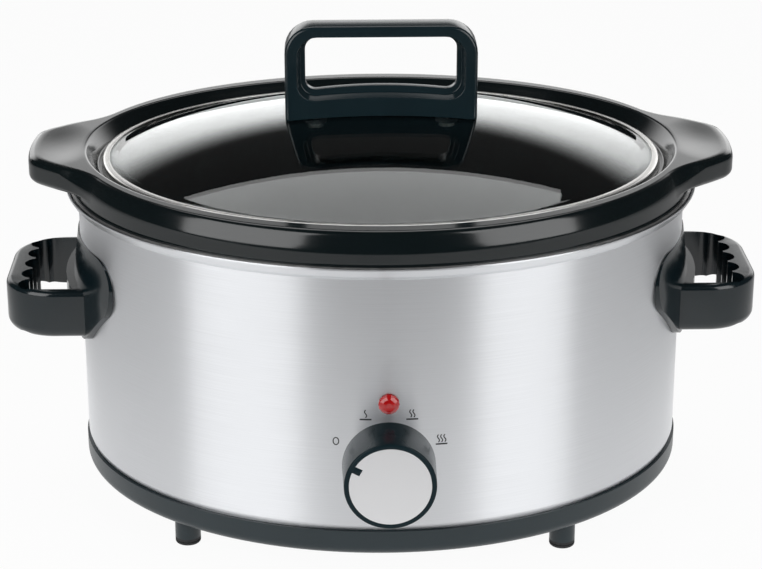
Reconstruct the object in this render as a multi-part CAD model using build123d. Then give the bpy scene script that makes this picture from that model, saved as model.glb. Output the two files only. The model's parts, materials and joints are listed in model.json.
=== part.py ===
from build123d import *
import os
from math import cos, radians, sin, sqrt

# Oval slow cooker: a steel-wrapped heating base, a glazed crock with two ears, a domed glass lid,
# two side handles and one turning control. Millimetres, +Z up, controls facing -Y.
# Every piece is drawn about the upright axis of the oval body, then moved along the depth, so that the
# origin is on the floor, under the middle of the whole cooker with its knob.

# Body outline, across the straight part of the steel wrap
BODY_LENGTH = 354.0
BODY_DEPTH = 307.0

# Heights, stacked from the floor upwards
PAD_HEIGHT = 4.0
POST_HEIGHT = 11.6
TRAY_FLOOR = 2.5
TRAY_HEIGHT = 15.4
SERVICE_HEIGHT = 66.6
PAN_SHEET = 0.8
PAN_FLOOR_GAP = 3.0
CROCK_BASE = 8.0
CROCK_DEPTH = 100.2
SEAT_DEPTH = 8.3
RIM_HEIGHT = 19.0

# Clearances between pieces
SEAT_GAP = 0.1
RUN_GAP = 0.05
HOLE_GAP = 0.3

# Steel wrap
WRAP_SHEET = 0.8
LIP_HEIGHT = 1.1
FLARE_HEIGHT = 6.3
FLARE_REACH = 5.3
HEM_HEIGHT = 3.6
HEM_INSET = 1.0

# Base tray, its posts and feet
TRAY_PROUD = 1.0
TRAY_EDGE = 6.5
SPIGOT_WALL = 1.8
SPIGOT_HEIGHT = 6.0
POST_RADIUS = 7.3
FOOT_INSET = 13.0
FOOT_SPREAD = 81.4
FOOT_TURN = -3.0
PAD_EDGE = 1.5
PAD_RIB = 0.5
PLUG_RADIUS = 2.6
PLUG_LENGTH = 5.0
VENT_LENGTH = 46.0
VENT_WIDTH = 4.0
VENT_PITCH = 10.0
VENT_COUNT = 5

# Crock and the pan around it
RIM_INSET_END = 1.0
RIM_INSET_SIDE = -0.5
RIM_ROUND = 3.0
CROCK_WALL = 7.5
WALL_DRAFT = 5.0
CROCK_CORNER = 17.0
CORNER_STEPS = 5
PAN_CLEARANCE = 2.0
EAR_REACH = 28.5
EAR_RISE = 2.4
EAR_ROOT_ANGLE = 31.5
EAR_TIP_WIDTH = 57.0
EAR_TIP_BOW = 3.0
EAR_TIP_ROUND = 19.0
EAR_ROOT_ROUND = 90.0
EAR_THICKNESS = 13.0
EAR_UNDER_ROUND = 4.0
DISH_DEPTH = 2.6
DISH_LENGTH = 34.0
DISH_WIDTH = 58.0

# Lid
LID_INSET_END = 13.5
LID_INSET_SIDE = 20.0
LID_PLAY = 2.5
SEAT_WIDTH = 6.0
SEAT_FLARE = 7.0
RING_SHEET = 0.7
RING_LIP = 4.5
RING_ROUND = 1.0
GLASS = 3.4
GLASS_BRIM = 6.0
DOME_RISE = 23.5
LOOP_WIDTH = 111.0
LOOP_RISE = 53.7
LOOP_THICKNESS = 16.0
LOOP_CORNER = 16.5
LOOP_EDGE = 2.0
LOOP_TOP_BAR = 6.8
LOOP_SIDE_BAR = 11.8
LOOP_FOOT_BAR = 15.2
WINDOW_CORNER = 7.0
WINDOW_ARCH = 3.0
WINDOW_BEVEL = 4.0
LID_SCREW_SPACING = 76.0
LID_SCREW_RADIUS = 2.0
LID_SCREW_BITE = 11.0
LID_HEAD_RADIUS = 4.5
LID_HEAD_HEIGHT = 2.4
WASHER_RADIUS = 6.5
WASHER_HEIGHT = 2.0

# Side handles
GRIP_DROP = 53.2
GRIP_HEIGHT = 29.4
GRIP_REACH = 42.8
GRIP_WIDTH = 96.0
GRIP_CORNER = 30.0
GRIP_TOP_EDGE = 3.5
GRIP_FOOT_EDGE = 6.0
GRIP_THICKNESS = 14.0
ARM_WALL = 4.5
WEB_DEPTH = 9.0
FINGER_CORNER = 8.0
SCALLOP_COUNT = 5
SCALLOP_PITCH = 17.0
SCALLOP_RADIUS = 8.0
SCALLOP_DEPTH = 5.3
FLANGE_RISE = 26.0
FLANGE_DROP = 2.0
FLANGE_TOP_WIDTH = 156.0
FLANGE_FOOT_WIDTH = 92.0
FLANGE_SHOULDER = 28.0
FLANGE_ROUND = 16.0
FLANGE_THICKNESS = 4.5
FLANGE_EDGE = 1.0
FLANGE_THINNING = 6.0
HANDLE_SCREW_SPACING = 15.0
HANDLE_SCREW_RADIUS = 1.6
HANDLE_SCREW_BITE = 6.0
HANDLE_HEAD_RADIUS = 4.0
HANDLE_HEAD_HEIGHT = 2.2

# Control knob and switch
KNOB_DROP = 13.2
KNOB_REACH = 28.5
KNOB_GAP = 0.8
KNOB_RADIUS = 25.5
KNOB_FRONT_RADIUS = 24.9
KNOB_ROUND = 1.2
KNOB_WALL = 2.4
KNOB_FACE = 3.0
KNOB_HUB_RADIUS = 6.0
KNOB_HUB_LENGTH = 18.0
KNOB_REST_ANGLE = 62.0
DISC_RADIUS = 22.1
DISC_SHEET = 1.0
DISC_SINK = 0.3
POINTER_LENGTH = 4.4
POINTER_WIDTH = 3.8
SHAFT_RADIUS = 3.0
SHAFT_FLAT = 0.8
SHAFT_SOCKET = 12.0
BUSH_RADIUS = 4.5
SWITCH_WIDTH = 28.0
SWITCH_HEIGHT = 26.0
SWITCH_DEPTH = 18.0
BRACKET_SHEET = 1.5
BRACKET_GAP = 0.8
BRACKET_WIDTH = 46.0
BRACKET_HEAD = 15.0
BRACKET_FOOT = 24.0
BRACKET_POST_RADIUS = 5.0
BRACKET_POST_HEIGHT = 8.0
BRACKET_POST_SPACING = 30.0
SMALL_SCREW_RADIUS = 1.5
SMALL_HEAD_RADIUS = 3.0
SMALL_HEAD_HEIGHT = 2.0
SMALL_SCREW_BITE = 6.0
SWITCH_SCREW_SPACING = 20.0

# Indicator
LAMP_RISE = 35.8
LENS_RADIUS = 5.8
LENS_FLANGE = 1.2
LENS_DOME = 2.2
LENS_NECK_RADIUS = 4.6
LENS_NECK_LENGTH = 5.0
LENS_BARB = 0.5
LENS_BARB_LENGTH = 1.5
NEON_RADIUS = 3.0
NEON_LENGTH = 7.0
NEON_ROUND = 1.5

# Heater, shield and ties
BAND_RISE = 30.0
BAND_HEIGHT = 34.0
BAND_THICKNESS = 2.0
CLAMP_SHEET = 0.8
CLAMP_HEIGHT = 10.0
CLAMP_SPLIT = 9.0
CLAMP_EAR = 6.0
CLAMP_EAR_SHEET = 1.4
CLAMP_SCREW_RADIUS = 1.5
SHIELD_INSET = 50.0
SHIELD_SHEET = 0.8
SHIELD_DROP = 13.0
TIE_X = 75.0
TIE_Y = 42.0
TIE_RADIUS = 3.0
TIE_FOOT_RADIUS = 4.0
TIE_THREAD_RADIUS = 2.0
TIE_BOSS_RADIUS = 7.0
TIE_BOSS_HEIGHT = 10.0
NUT_WIDTH = 7.0
NUT_HEIGHT = 3.2
NUT_POCKET_RADIUS = 5.0
NUT_POCKET_DEPTH = 5.5

# Small electrical pieces
FUSE_RADIUS = 2.4
FUSE_LENGTH = 18.0
FUSE_X = 30.0
FUSE_CLIP_LENGTH = 9.0
FUSE_CLIP_SHEET = 1.2
BLOCK_LENGTH = 42.0
BLOCK_WIDTH = 18.0
BLOCK_HEIGHT = 15.0
BLOCK_Y = 92.0
BLOCK_POLES = 3
BLOCK_PITCH = 13.0
BLOCK_WELL_RADIUS = 3.4
BLOCK_WELL_DEPTH = 7.0
TERMINAL_SCREW_RADIUS = 2.8
TERMINAL_SCREW_HEIGHT = 4.0
TERMINAL_SLOT_WIDTH = 0.8
TERMINAL_SLOT_DEPTH = 0.6
EARTH_X = -30.0
EARTH_TAG_LENGTH = 18.0
EARTH_TAG_WIDTH = 8.0
EARTH_TAG_SHEET = 0.8
CORD_BORE_RADIUS = 3.6
CORD_NECK_RADIUS = 6.2
CORD_FLANGE_RADIUS = 9.0
CORD_FLANGE = 2.5
CORD_BARB = 0.8
CORD_BARB_LENGTH = 3.0
CORD_RISE = 22.0

# Levels worked out from the stack of heights
tray_bottom = PAD_HEIGHT + POST_HEIGHT
tray_floor = tray_bottom + TRAY_FLOOR
wrap_bottom = tray_bottom + TRAY_HEIGHT
pan_bottom = tray_floor + SERVICE_HEIGHT
pan_floor = pan_bottom + PAN_SHEET
crock_bottom = pan_floor + PAN_FLOOR_GAP
crock_floor = crock_bottom + CROCK_BASE
seat_level = crock_floor + CROCK_DEPTH
rim_top = seat_level + SEAT_DEPTH
rim_bottom = rim_top - RIM_HEIGHT
flange_bottom = rim_bottom - PAN_SHEET
lip_bottom = flange_bottom - SEAT_GAP
wrap_top = lip_bottom + LIP_HEIGHT
flare_bottom = lip_bottom - FLARE_HEIGHT
brim_bottom = seat_level + RING_SHEET
brim_top = brim_bottom + GLASS
ring_top = brim_top + RING_SHEET
dome_top = brim_top + DOME_RISE
loop_top = dome_top + LOOP_RISE
grip_top = wrap_top - GRIP_DROP
grip_bottom = grip_top - GRIP_HEIGHT
knob_level = pan_bottom - KNOB_DROP
lamp_level = knob_level + LAMP_RISE
shield_level = pan_bottom - SHIELD_DROP
band_bottom = pan_floor + BAND_RISE
clamp_bottom = band_bottom + (BAND_HEIGHT - CLAMP_HEIGHT) / 2
tie_boss_top = tray_bottom + TIE_BOSS_HEIGHT
nut_seat = tray_bottom + NUT_POCKET_DEPTH
bracket_foot_level = tray_floor + BRACKET_POST_HEIGHT
cord_level = wrap_bottom + CORD_RISE

# Outlines worked out from the body
body_x = BODY_LENGTH / 2
body_y = BODY_DEPTH / 2
rim_x = body_x - RIM_INSET_END
rim_y = body_y - RIM_INSET_SIDE
crock_inner = -SEAT_WIDTH
crock_outer = crock_inner + CROCK_WALL
pan_inner = crock_outer + PAN_CLEARANCE
pan_outer = pan_inner + PAN_SHEET
pan_corner = CROCK_CORNER + PAN_CLEARANCE
tray_inner = -HEM_INSET - WRAP_SHEET - SEAT_GAP - SPIGOT_WALL
lid_x = rim_x - LID_INSET_END
lid_y = rim_y - LID_INSET_SIDE
glass_x = lid_x - RING_SHEET - SEAT_GAP
glass_y = lid_y - RING_SHEET - SEAT_GAP
dome_x = glass_x - GLASS_BRIM
dome_radius = (dome_x ** 2 + DOME_RISE ** 2) / (2 * DOME_RISE)
ear_bottom = rim_top - EAR_THICKNESS
ear_tip_x = rim_x + EAR_REACH
ear_root_x = rim_x * cos(radians(EAR_ROOT_ANGLE))
ear_root_y = rim_y * sin(radians(EAR_ROOT_ANGLE))
wrap_front = body_y - WRAP_SHEET
spigot_front = (body_y + tray_inner) * sqrt(1 - (BRACKET_WIDTH / 2 / (body_x + tray_inner)) ** 2)
bracket_front = spigot_front - BRACKET_GAP
bracket_back = bracket_front - BRACKET_SHEET
knob_front = body_y + KNOB_REACH
knob_back = body_y + KNOB_GAP
whole_back = body_y + FLARE_REACH
middle_shift = (knob_front - whole_back) / 2
window_bottom = dome_top + LOOP_FOOT_BAR
window_top = loop_top - LOOP_TOP_BAR
window_half = LOOP_WIDTH / 2 - LOOP_SIDE_BAR


def body_oval(offset, level):
    """Oval outline of the body, grown by the offset, at one height."""
    return Plane.XY.offset(level) * Ellipse(body_x + offset, body_y + offset)


def rim_oval(offset, level):
    """Oval outline of the crock's rim, grown by the offset, at one height."""
    return Plane.XY.offset(level) * Ellipse(rim_x + offset, rim_y + offset)


def lid_oval(offset, level):
    """Oval outline of the lid's ring, grown by the offset, at one height."""
    return Plane.XY.offset(level) * Ellipse(lid_x + offset, lid_y + offset)


def block(outline, offset, bottom, top):
    """Upright solid on one oval outline."""
    return extrude(outline(offset, bottom), top - bottom)


def stack(outline, *steps):
    """Solid through ovals given as (offset, height), with straight sides between them."""
    return loft([outline(offset, level) for offset, level in steps], ruled=True)


def vessel(offset, corner, floor, top):
    """Filled oval pot with drafted sides and a rounded lower corner."""
    steps = [(offset, top)]
    for step in range(CORNER_STEPS + 1):
        angle = radians(90 * step / CORNER_STEPS)
        inset = WALL_DRAFT + corner * (1 - cos(angle))
        steps.append((offset - inset, floor + corner * (1 - sin(angle))))
    return stack(lid_oval, *reversed(steps))


def pan_side(level):
    """Offset of the pan's outer side at one height."""
    corner_level = pan_bottom + pan_corner
    return pan_outer - WALL_DRAFT * (flange_bottom - level) / (flange_bottom - corner_level)


def rod(radius, bottom, top, x=0.0, y=0.0):
    """Upright cylinder between two heights."""
    return extrude(Pos(x, y, bottom) * Circle(radius), top - bottom)


def front_plane(depth, x=0.0, level=0.0):
    """Upright plane facing the user, at a distance in front of the middle."""
    return Plane(origin=(x, -depth, level), x_dir=(1, 0, 0), z_dir=(0, -1, 0))


def front_rod(radius, back, front, x, level):
    """Cylinder along the depth of the body, between two distances in front of the middle."""
    return extrude(front_plane(back, x, level) * Circle(radius), front - back)


def end_plane(x, y=0.0, level=0.0):
    """Upright plane facing the right-hand end of the body."""
    return Plane(origin=(x, y, level), x_dir=(0, 1, 0), z_dir=(1, 0, 0))


def end_rod(radius, inner, outer, level):
    """Cylinder along the length of the body, at the right-hand end."""
    return extrude(end_plane(inner, 0, level) * Circle(radius), outer - inner)


def upright_nut(bottom, x, y):
    """Hexagon nut with its axis upright."""
    hexagon = RegularPolygon(NUT_WIDTH / 2, 6, major_radius=False) - Circle(TIE_THREAD_RADIUS + SEAT_GAP)
    return extrude(Pos(x, y, bottom) * hexagon, NUT_HEIGHT)


def foot_places():
    """Centres of the feet: a pair in front and the same pair turned half round."""
    places = []
    for middle in (270.0, 90.0):
        for side in (-1, 1):
            angle = radians(middle + FOOT_TURN + side * FOOT_SPREAD / 2)
            places.append(((body_x - FOOT_INSET) * cos(angle), (body_y - FOOT_INSET) * sin(angle)))
    return places


def tie_places():
    """Centres of the four tie rods."""
    return [(side * TIE_X, end * TIE_Y) for side in (-1, 1) for end in (-1, 1)]


def handle_screw_levels():
    """Heights of the two screws behind each side handle."""
    middle = (grip_top + grip_bottom) / 2
    return [middle - HANDLE_SCREW_SPACING / 2, middle + HANDLE_SCREW_SPACING / 2]


def bracket_post_places():
    """Centres of the two tray posts under the switch bracket."""
    depth = bracket_back - BRACKET_FOOT / 2
    return [(side * BRACKET_POST_SPACING / 2, -depth) for side in (-1, 1)]


def make_base_tray():
    """Shallow oval tray with a rounded lower edge, foot posts, bosses and vents."""
    tray = block(body_oval, TRAY_PROUD, tray_bottom, wrap_bottom)
    tray = fillet(tray.edges().group_by(Axis.Z)[0], TRAY_EDGE)
    spigot_outer = tray_inner + SPIGOT_WALL
    tray += block(body_oval, spigot_outer, wrap_bottom, wrap_bottom + SPIGOT_HEIGHT)
    tray -= block(body_oval, tray_inner, tray_floor, wrap_bottom + SPIGOT_HEIGHT)
    for x, y in foot_places():
        tray += rod(POST_RADIUS, PAD_HEIGHT, tray_floor, x, y)
        tray -= rod(PLUG_RADIUS + SEAT_GAP, PAD_HEIGHT, PAD_HEIGHT + PLUG_LENGTH + SEAT_GAP, x, y)
    for x, y in tie_places():
        tray += rod(TIE_BOSS_RADIUS, tray_bottom, tie_boss_top, x, y)
        tray -= rod(TIE_THREAD_RADIUS + HOLE_GAP, tray_bottom, tie_boss_top, x, y)
        tray -= rod(NUT_POCKET_RADIUS, tray_bottom, nut_seat, x, y)
    for x, y in bracket_post_places():
        tray += rod(BRACKET_POST_RADIUS, tray_floor, bracket_foot_level, x, y)
        pilot_bottom = bracket_foot_level - SMALL_SCREW_BITE - SEAT_GAP
        tray -= rod(SMALL_SCREW_RADIUS + SEAT_GAP, pilot_bottom, bracket_foot_level, x, y)
    slot = extrude(SlotOverall(VENT_LENGTH, VENT_WIDTH, rotation=90), TRAY_FLOOR)
    for number in range(VENT_COUNT):
        tray -= Pos((number - (VENT_COUNT - 1) / 2) * VENT_PITCH, 0, tray_bottom) * slot
    return tray


def make_foot_pads():
    """Rubber tips with a plug, pushed into the posts."""
    pads = []
    for x, y in foot_places():
        pad = rod(POST_RADIUS, 0, PAD_HEIGHT, x, y)
        pad = fillet(pad.edges().group_by(Axis.Z)[0], PAD_EDGE)
        groove = rod(POST_RADIUS + PAD_RIB, PAD_HEIGHT / 2, PAD_HEIGHT / 2 + PAD_RIB, x, y)
        groove -= rod(POST_RADIUS - PAD_RIB, PAD_HEIGHT / 2, PAD_HEIGHT / 2 + PAD_RIB, x, y)
        pad -= groove
        pad += rod(PLUG_RADIUS, PAD_HEIGHT, PAD_HEIGHT + PLUG_LENGTH, x, y)
        pads.append(pad)
    return pads


def make_wrap():
    """Steel wrap with a turned-in hem, a flared top and holes for what passes through it."""
    steps = [(-HEM_INSET, wrap_bottom), (0, wrap_bottom + HEM_HEIGHT), (0, flare_bottom),
             (FLARE_REACH, lip_bottom), (FLARE_REACH, wrap_top)]
    inner_steps = [(offset - WRAP_SHEET, level) for offset, level in steps]
    wrap = stack(body_oval, *steps) - stack(body_oval, *inner_steps)
    inside = body_y / 2
    outside = body_y + FLARE_REACH
    wrap -= front_rod(BUSH_RADIUS + HOLE_GAP, inside, outside, 0, knob_level)
    wrap -= front_rod(LENS_NECK_RADIUS + HOLE_GAP, inside, outside, 0, lamp_level)
    wrap -= front_rod(CORD_NECK_RADIUS + HOLE_GAP, -outside, -inside, 0, cord_level)
    for level in handle_screw_levels():
        hole = end_rod(HANDLE_SCREW_RADIUS + HOLE_GAP, body_x / 2, body_x + FLARE_REACH, level)
        wrap -= hole
        wrap -= mirror(hole, Plane.YZ)
    return wrap


def make_heating_pan():
    """Thin metal pan with a flat flange that lies inside the lip of the wrap."""
    pan = vessel(pan_outer, pan_corner, pan_bottom, flange_bottom)
    pan += block(body_oval, FLARE_REACH - WRAP_SHEET - SEAT_GAP, flange_bottom, rim_bottom)
    return pan - vessel(pan_inner, pan_corner - PAN_SHEET, pan_floor, rim_bottom)


def pan_ring(bottom, height, gap, thickness):
    """Ring that follows the drafted side of the pan at a gap."""
    levels = (bottom, bottom + height)
    outer = stack(lid_oval, *[(pan_side(level) + gap + thickness, level) for level in levels])
    inner = stack(lid_oval, *[(pan_side(level) + gap, level) for level in levels])
    return outer - inner


def make_heater_band():
    """Flat element wound round the pan."""
    return pan_ring(band_bottom, BAND_HEIGHT, SEAT_GAP, BAND_THICKNESS)


def clamp_ear_depth():
    """Distance of the clamp's ears behind the middle."""
    return lid_y + pan_side(clamp_bottom + CLAMP_HEIGHT / 2) + BAND_THICKNESS + CLAMP_SHEET


def make_band_clamp():
    """Split strap that draws the element against the pan, with an ear at each end."""
    strap = pan_ring(clamp_bottom, CLAMP_HEIGHT, BAND_THICKNESS + 2 * SEAT_GAP, CLAMP_SHEET)
    back = clamp_ear_depth()
    split = Box(CLAMP_SPLIT, back, CLAMP_HEIGHT, align=(Align.CENTER, Align.CENTER, Align.MIN))
    strap -= Pos(0, back, clamp_bottom) * split
    middle = clamp_bottom + CLAMP_HEIGHT / 2
    for side in (-1, 1):
        x = side * (CLAMP_SPLIT + CLAMP_EAR_SHEET) / 2
        ear = Box(CLAMP_EAR_SHEET, CLAMP_EAR, CLAMP_HEIGHT, align=(Align.CENTER, Align.MIN, Align.MIN))
        strap += Pos(x, back - CLAMP_SHEET / 2, clamp_bottom) * ear
    hole = end_plane(-CLAMP_SPLIT, back + CLAMP_EAR / 2, middle) * Circle(CLAMP_SCREW_RADIUS + HOLE_GAP)
    return strap - extrude(hole, 2 * CLAMP_SPLIT)


def make_clamp_screw():
    """Screw through both ears of the clamp, with its nut."""
    end = CLAMP_SPLIT / 2 + CLAMP_EAR_SHEET
    head_radius = CLAMP_EAR / 2 - HOLE_GAP
    plane = end_plane(0, clamp_ear_depth() + CLAMP_EAR / 2, clamp_bottom + CLAMP_HEIGHT / 2)
    screw = extrude(plane.offset(-end) * Circle(CLAMP_SCREW_RADIUS), 2 * end + 2 * SMALL_HEAD_HEIGHT)
    screw += extrude(plane.offset(-end - SMALL_HEAD_HEIGHT) * Circle(head_radius), SMALL_HEAD_HEIGHT)
    nut = RegularPolygon(head_radius, 6, major_radius=True) - Circle(CLAMP_SCREW_RADIUS + SEAT_GAP)
    return [screw, extrude(plane.offset(end) * nut, SMALL_HEAD_HEIGHT)]


def make_heat_shield():
    """Plate between the pan and the wiring, carried on the shoulders of the tie rods."""
    shield = block(lid_oval, -SHIELD_INSET, shield_level, shield_level + SHIELD_SHEET)
    for x, y in tie_places():
        shield -= rod(TIE_RADIUS + HOLE_GAP, shield_level, shield_level + SHIELD_SHEET, x, y)
    return shield - rod(TIE_THREAD_RADIUS + SEAT_GAP, shield_level, shield_level + SHIELD_SHEET, EARTH_X)


def make_tie_rods():
    """Stepped rods that stand on the tray's bosses and carry the shield and the pan."""
    rods = []
    for x, y in tie_places():
        tie = rod(TIE_THREAD_RADIUS, nut_seat - NUT_HEIGHT, tie_boss_top, x, y)
        tie += rod(TIE_FOOT_RADIUS, tie_boss_top, shield_level, x, y)
        rods.append(tie + rod(TIE_RADIUS, shield_level, pan_bottom, x, y))
    return rods


def make_tie_nuts():
    """Nuts in the pockets under the tray."""
    return [upright_nut(nut_seat - NUT_HEIGHT, x, y) for x, y in tie_places()]


def make_switch_bracket():
    """Bent plate that holds the switch behind the wrap and stands on two tray posts."""
    height = knob_level + BRACKET_HEAD - bracket_foot_level
    plate = Box(BRACKET_WIDTH, BRACKET_SHEET, height, align=(Align.CENTER, Align.MIN, Align.MIN))
    foot = Box(BRACKET_WIDTH, BRACKET_FOOT, BRACKET_SHEET, align=(Align.CENTER, Align.MIN, Align.MIN))
    bracket = Pos(0, -bracket_front, bracket_foot_level) * plate
    bracket += Pos(0, -bracket_back, bracket_foot_level) * foot
    bracket -= front_rod(BUSH_RADIUS + HOLE_GAP, bracket_back, bracket_front, 0, knob_level)
    for side in (-1, 1):
        x = side * SWITCH_SCREW_SPACING / 2
        bracket -= front_rod(SMALL_SCREW_RADIUS + HOLE_GAP, bracket_back, bracket_front, x, knob_level)
    for x, y in bracket_post_places():
        hole_top = bracket_foot_level + BRACKET_SHEET
        bracket -= rod(SMALL_SCREW_RADIUS + HOLE_GAP, bracket_foot_level, hole_top, x, y)
    return bracket


def make_bracket_screws():
    """Screws down through the bracket's foot into the tray posts."""
    screws = []
    for x, y in bracket_post_places():
        head = bracket_foot_level + BRACKET_SHEET
        screw = rod(SMALL_SCREW_RADIUS, bracket_foot_level - SMALL_SCREW_BITE, head, x, y)
        screws.append(screw + rod(SMALL_HEAD_RADIUS, head, head + SMALL_HEAD_HEIGHT, x, y))
    return screws


def make_rotary_switch():
    """Switch body with a bush through the bracket and a bore for its shaft."""
    case = Box(SWITCH_WIDTH, SWITCH_DEPTH, SWITCH_HEIGHT, align=(Align.CENTER, Align.MIN, Align.CENTER))
    switch = Pos(0, -bracket_back, knob_level) * case
    switch += front_rod(BUSH_RADIUS, bracket_back, body_y, 0, knob_level)
    socket = bracket_back - SHAFT_SOCKET - SEAT_GAP
    switch -= front_rod(SHAFT_RADIUS + RUN_GAP, socket, body_y, 0, knob_level)
    for side in (-1, 1):
        x = side * SWITCH_SCREW_SPACING / 2
        pilot = bracket_back - SMALL_SCREW_BITE - SEAT_GAP
        switch -= front_rod(SMALL_SCREW_RADIUS + SEAT_GAP, pilot, bracket_back, x, knob_level)
    return switch


def make_switch_screws():
    """Screws through the bracket into the switch."""
    screws = []
    for side in (-1, 1):
        x = side * SWITCH_SCREW_SPACING / 2
        screw = front_rod(SMALL_SCREW_RADIUS, bracket_back - SMALL_SCREW_BITE, bracket_front, x, knob_level)
        head = front_rod(SMALL_HEAD_RADIUS, bracket_front, bracket_front + SMALL_HEAD_HEIGHT, x, knob_level)
        screws.append(screw + head)
    return screws


def shaft_outline(gap):
    """Round section with one flat, facing up before the knob is turned to its rest mark."""
    radius = SHAFT_RADIUS + gap
    flat = Pos(0, SHAFT_RADIUS - SHAFT_FLAT + gap + radius) * Rectangle(2 * radius, 2 * radius)
    return Rot(0, 0, KNOB_REST_ANGLE) * (Circle(radius) - flat)


def make_switch_shaft():
    """Shaft that the knob turns: round in the switch, flatted in the knob."""
    flat_start = knob_front - KNOB_FACE - KNOB_HUB_LENGTH
    shaft = front_rod(SHAFT_RADIUS, bracket_back - SHAFT_SOCKET, flat_start, 0, knob_level)
    flatted = front_plane(flat_start, 0, knob_level) * shaft_outline(0)
    return shaft + extrude(flatted, KNOB_HUB_LENGTH - SEAT_GAP)


def pointer_tab():
    """Pointer outline, turned to the rest mark, from the edge of the face plate inwards."""
    reach = DISC_RADIUS - POINTER_LENGTH / 2
    tab = Rectangle(POINTER_WIDTH, POINTER_LENGTH + 2 * SEAT_GAP)
    return Rot(0, 0, KNOB_REST_ANGLE) * Pos(0, reach) * tab


def make_knob():
    """Hollow round knob with a hub, a recess for its face plate and a pointer tab."""
    sections = [front_plane(knob_back, 0, knob_level) * Circle(KNOB_RADIUS),
                front_plane(knob_front, 0, knob_level) * Circle(KNOB_FRONT_RADIUS)]
    knob = loft(sections, ruled=True)
    knob = fillet(knob.edges().group_by(Axis.Y)[0], KNOB_ROUND)
    knob -= front_rod(KNOB_FRONT_RADIUS - KNOB_WALL, knob_back, knob_front - KNOB_FACE, 0, knob_level)
    hub_back = knob_front - KNOB_FACE - KNOB_HUB_LENGTH
    knob += front_rod(KNOB_HUB_RADIUS, hub_back, knob_front - KNOB_FACE, 0, knob_level)
    socket = front_plane(hub_back, 0, knob_level) * shaft_outline(RUN_GAP)
    knob -= extrude(socket, KNOB_HUB_LENGTH)
    recess = Circle(DISC_RADIUS + SEAT_GAP) - pointer_tab()
    recess_back = knob_front - DISC_SINK - DISC_SHEET
    return knob - extrude(front_plane(recess_back, 0, knob_level) * recess, DISC_SINK + DISC_SHEET)


def make_knob_disc():
    """Metal face plate of the knob, notched for the pointer."""
    notch = offset(pointer_tab(), SEAT_GAP)
    face = Circle(DISC_RADIUS) - notch
    return extrude(front_plane(knob_front - DISC_SINK - DISC_SHEET, 0, knob_level) * face, DISC_SHEET)


def make_indicator_lens():
    """Domed lens with a hollow neck that snaps into the wrap."""
    seat = body_y + SEAT_GAP
    lens = front_rod(LENS_RADIUS, seat, seat + LENS_FLANGE, 0, lamp_level)
    ball_radius = (LENS_RADIUS ** 2 + LENS_DOME ** 2) / (2 * LENS_DOME)
    tip = seat + LENS_FLANGE + LENS_DOME
    ball = Pos(0, ball_radius - tip, lamp_level) * Sphere(ball_radius)
    lens += front_rod(LENS_RADIUS, seat + LENS_FLANGE, tip, 0, lamp_level) & ball
    neck_back = body_y - LENS_NECK_LENGTH
    lens += front_rod(LENS_NECK_RADIUS, neck_back, seat, 0, lamp_level)
    barb_radius = LENS_NECK_RADIUS + HOLE_GAP + LENS_BARB
    barb_front = wrap_front - HOLE_GAP
    lens += front_rod(barb_radius, barb_front - LENS_BARB_LENGTH, barb_front, 0, lamp_level)
    socket_front = neck_back + NEON_LENGTH + SEAT_GAP
    return lens - front_rod(NEON_RADIUS + SEAT_GAP, neck_back, socket_front, 0, lamp_level)


def make_neon_lamp():
    """Small lamp inside the lens."""
    neck_back = body_y - LENS_NECK_LENGTH
    lamp = front_rod(NEON_RADIUS, neck_back, neck_back + NEON_LENGTH, 0, lamp_level)
    return fillet(lamp.edges().group_by(Axis.Y)[0], NEON_ROUND)


def make_cord_bushing():
    """Bushing in the back of the wrap, bored for the supply cord."""
    seat = body_y + SEAT_GAP
    bushing = front_rod(CORD_FLANGE_RADIUS, -seat - CORD_FLANGE, -seat, 0, cord_level)
    barb_front = wrap_front - HOLE_GAP
    bushing += front_rod(CORD_NECK_RADIUS, -seat, -barb_front + CORD_BARB_LENGTH, 0, cord_level)
    barb_radius = CORD_NECK_RADIUS + HOLE_GAP + CORD_BARB
    bushing += front_rod(barb_radius, -barb_front, -barb_front + CORD_BARB_LENGTH, 0, cord_level)
    bushing = fillet(bushing.edges().group_by(Axis.Y)[-1], CORD_BARB)
    return bushing - front_rod(CORD_BORE_RADIUS, -seat - CORD_FLANGE, 0, 0, cord_level)


def make_thermal_fuse():
    """Thermal cut-out lying under the pan."""
    return end_rod(FUSE_RADIUS, FUSE_X - FUSE_LENGTH / 2, FUSE_X + FUSE_LENGTH / 2, fuse_level())


def fuse_level():
    """Height of the thermal cut-out's axis."""
    return pan_bottom - FUSE_CLIP_SHEET - SEAT_GAP - FUSE_RADIUS


def make_fuse_clip():
    """Saddle that holds the thermal cut-out against the pan."""
    size = 2 * (FUSE_RADIUS + SEAT_GAP + FUSE_CLIP_SHEET)
    saddle = Box(FUSE_CLIP_LENGTH, size, size, align=(Align.CENTER, Align.CENTER, Align.MAX))
    reach = FUSE_CLIP_LENGTH / 2
    bore = end_rod(FUSE_RADIUS + SEAT_GAP, FUSE_X - reach, FUSE_X + reach, fuse_level())
    return Pos(FUSE_X, 0, pan_bottom) * saddle - bore


def terminal_places():
    """Centres of the terminal screws along the block."""
    return [((pole - (BLOCK_POLES - 1) / 2) * BLOCK_PITCH, BLOCK_Y) for pole in range(BLOCK_POLES)]


def make_terminal_block():
    """Block on the tray's floor with a screw well for each lead."""
    case = Box(BLOCK_LENGTH, BLOCK_WIDTH, BLOCK_HEIGHT, align=(Align.CENTER, Align.CENTER, Align.MIN))
    terminals = Pos(0, BLOCK_Y, tray_floor) * case
    top = tray_floor + BLOCK_HEIGHT
    for x, y in terminal_places():
        terminals -= rod(BLOCK_WELL_RADIUS, top - BLOCK_WELL_DEPTH, top, x, y)
    return terminals


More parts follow.
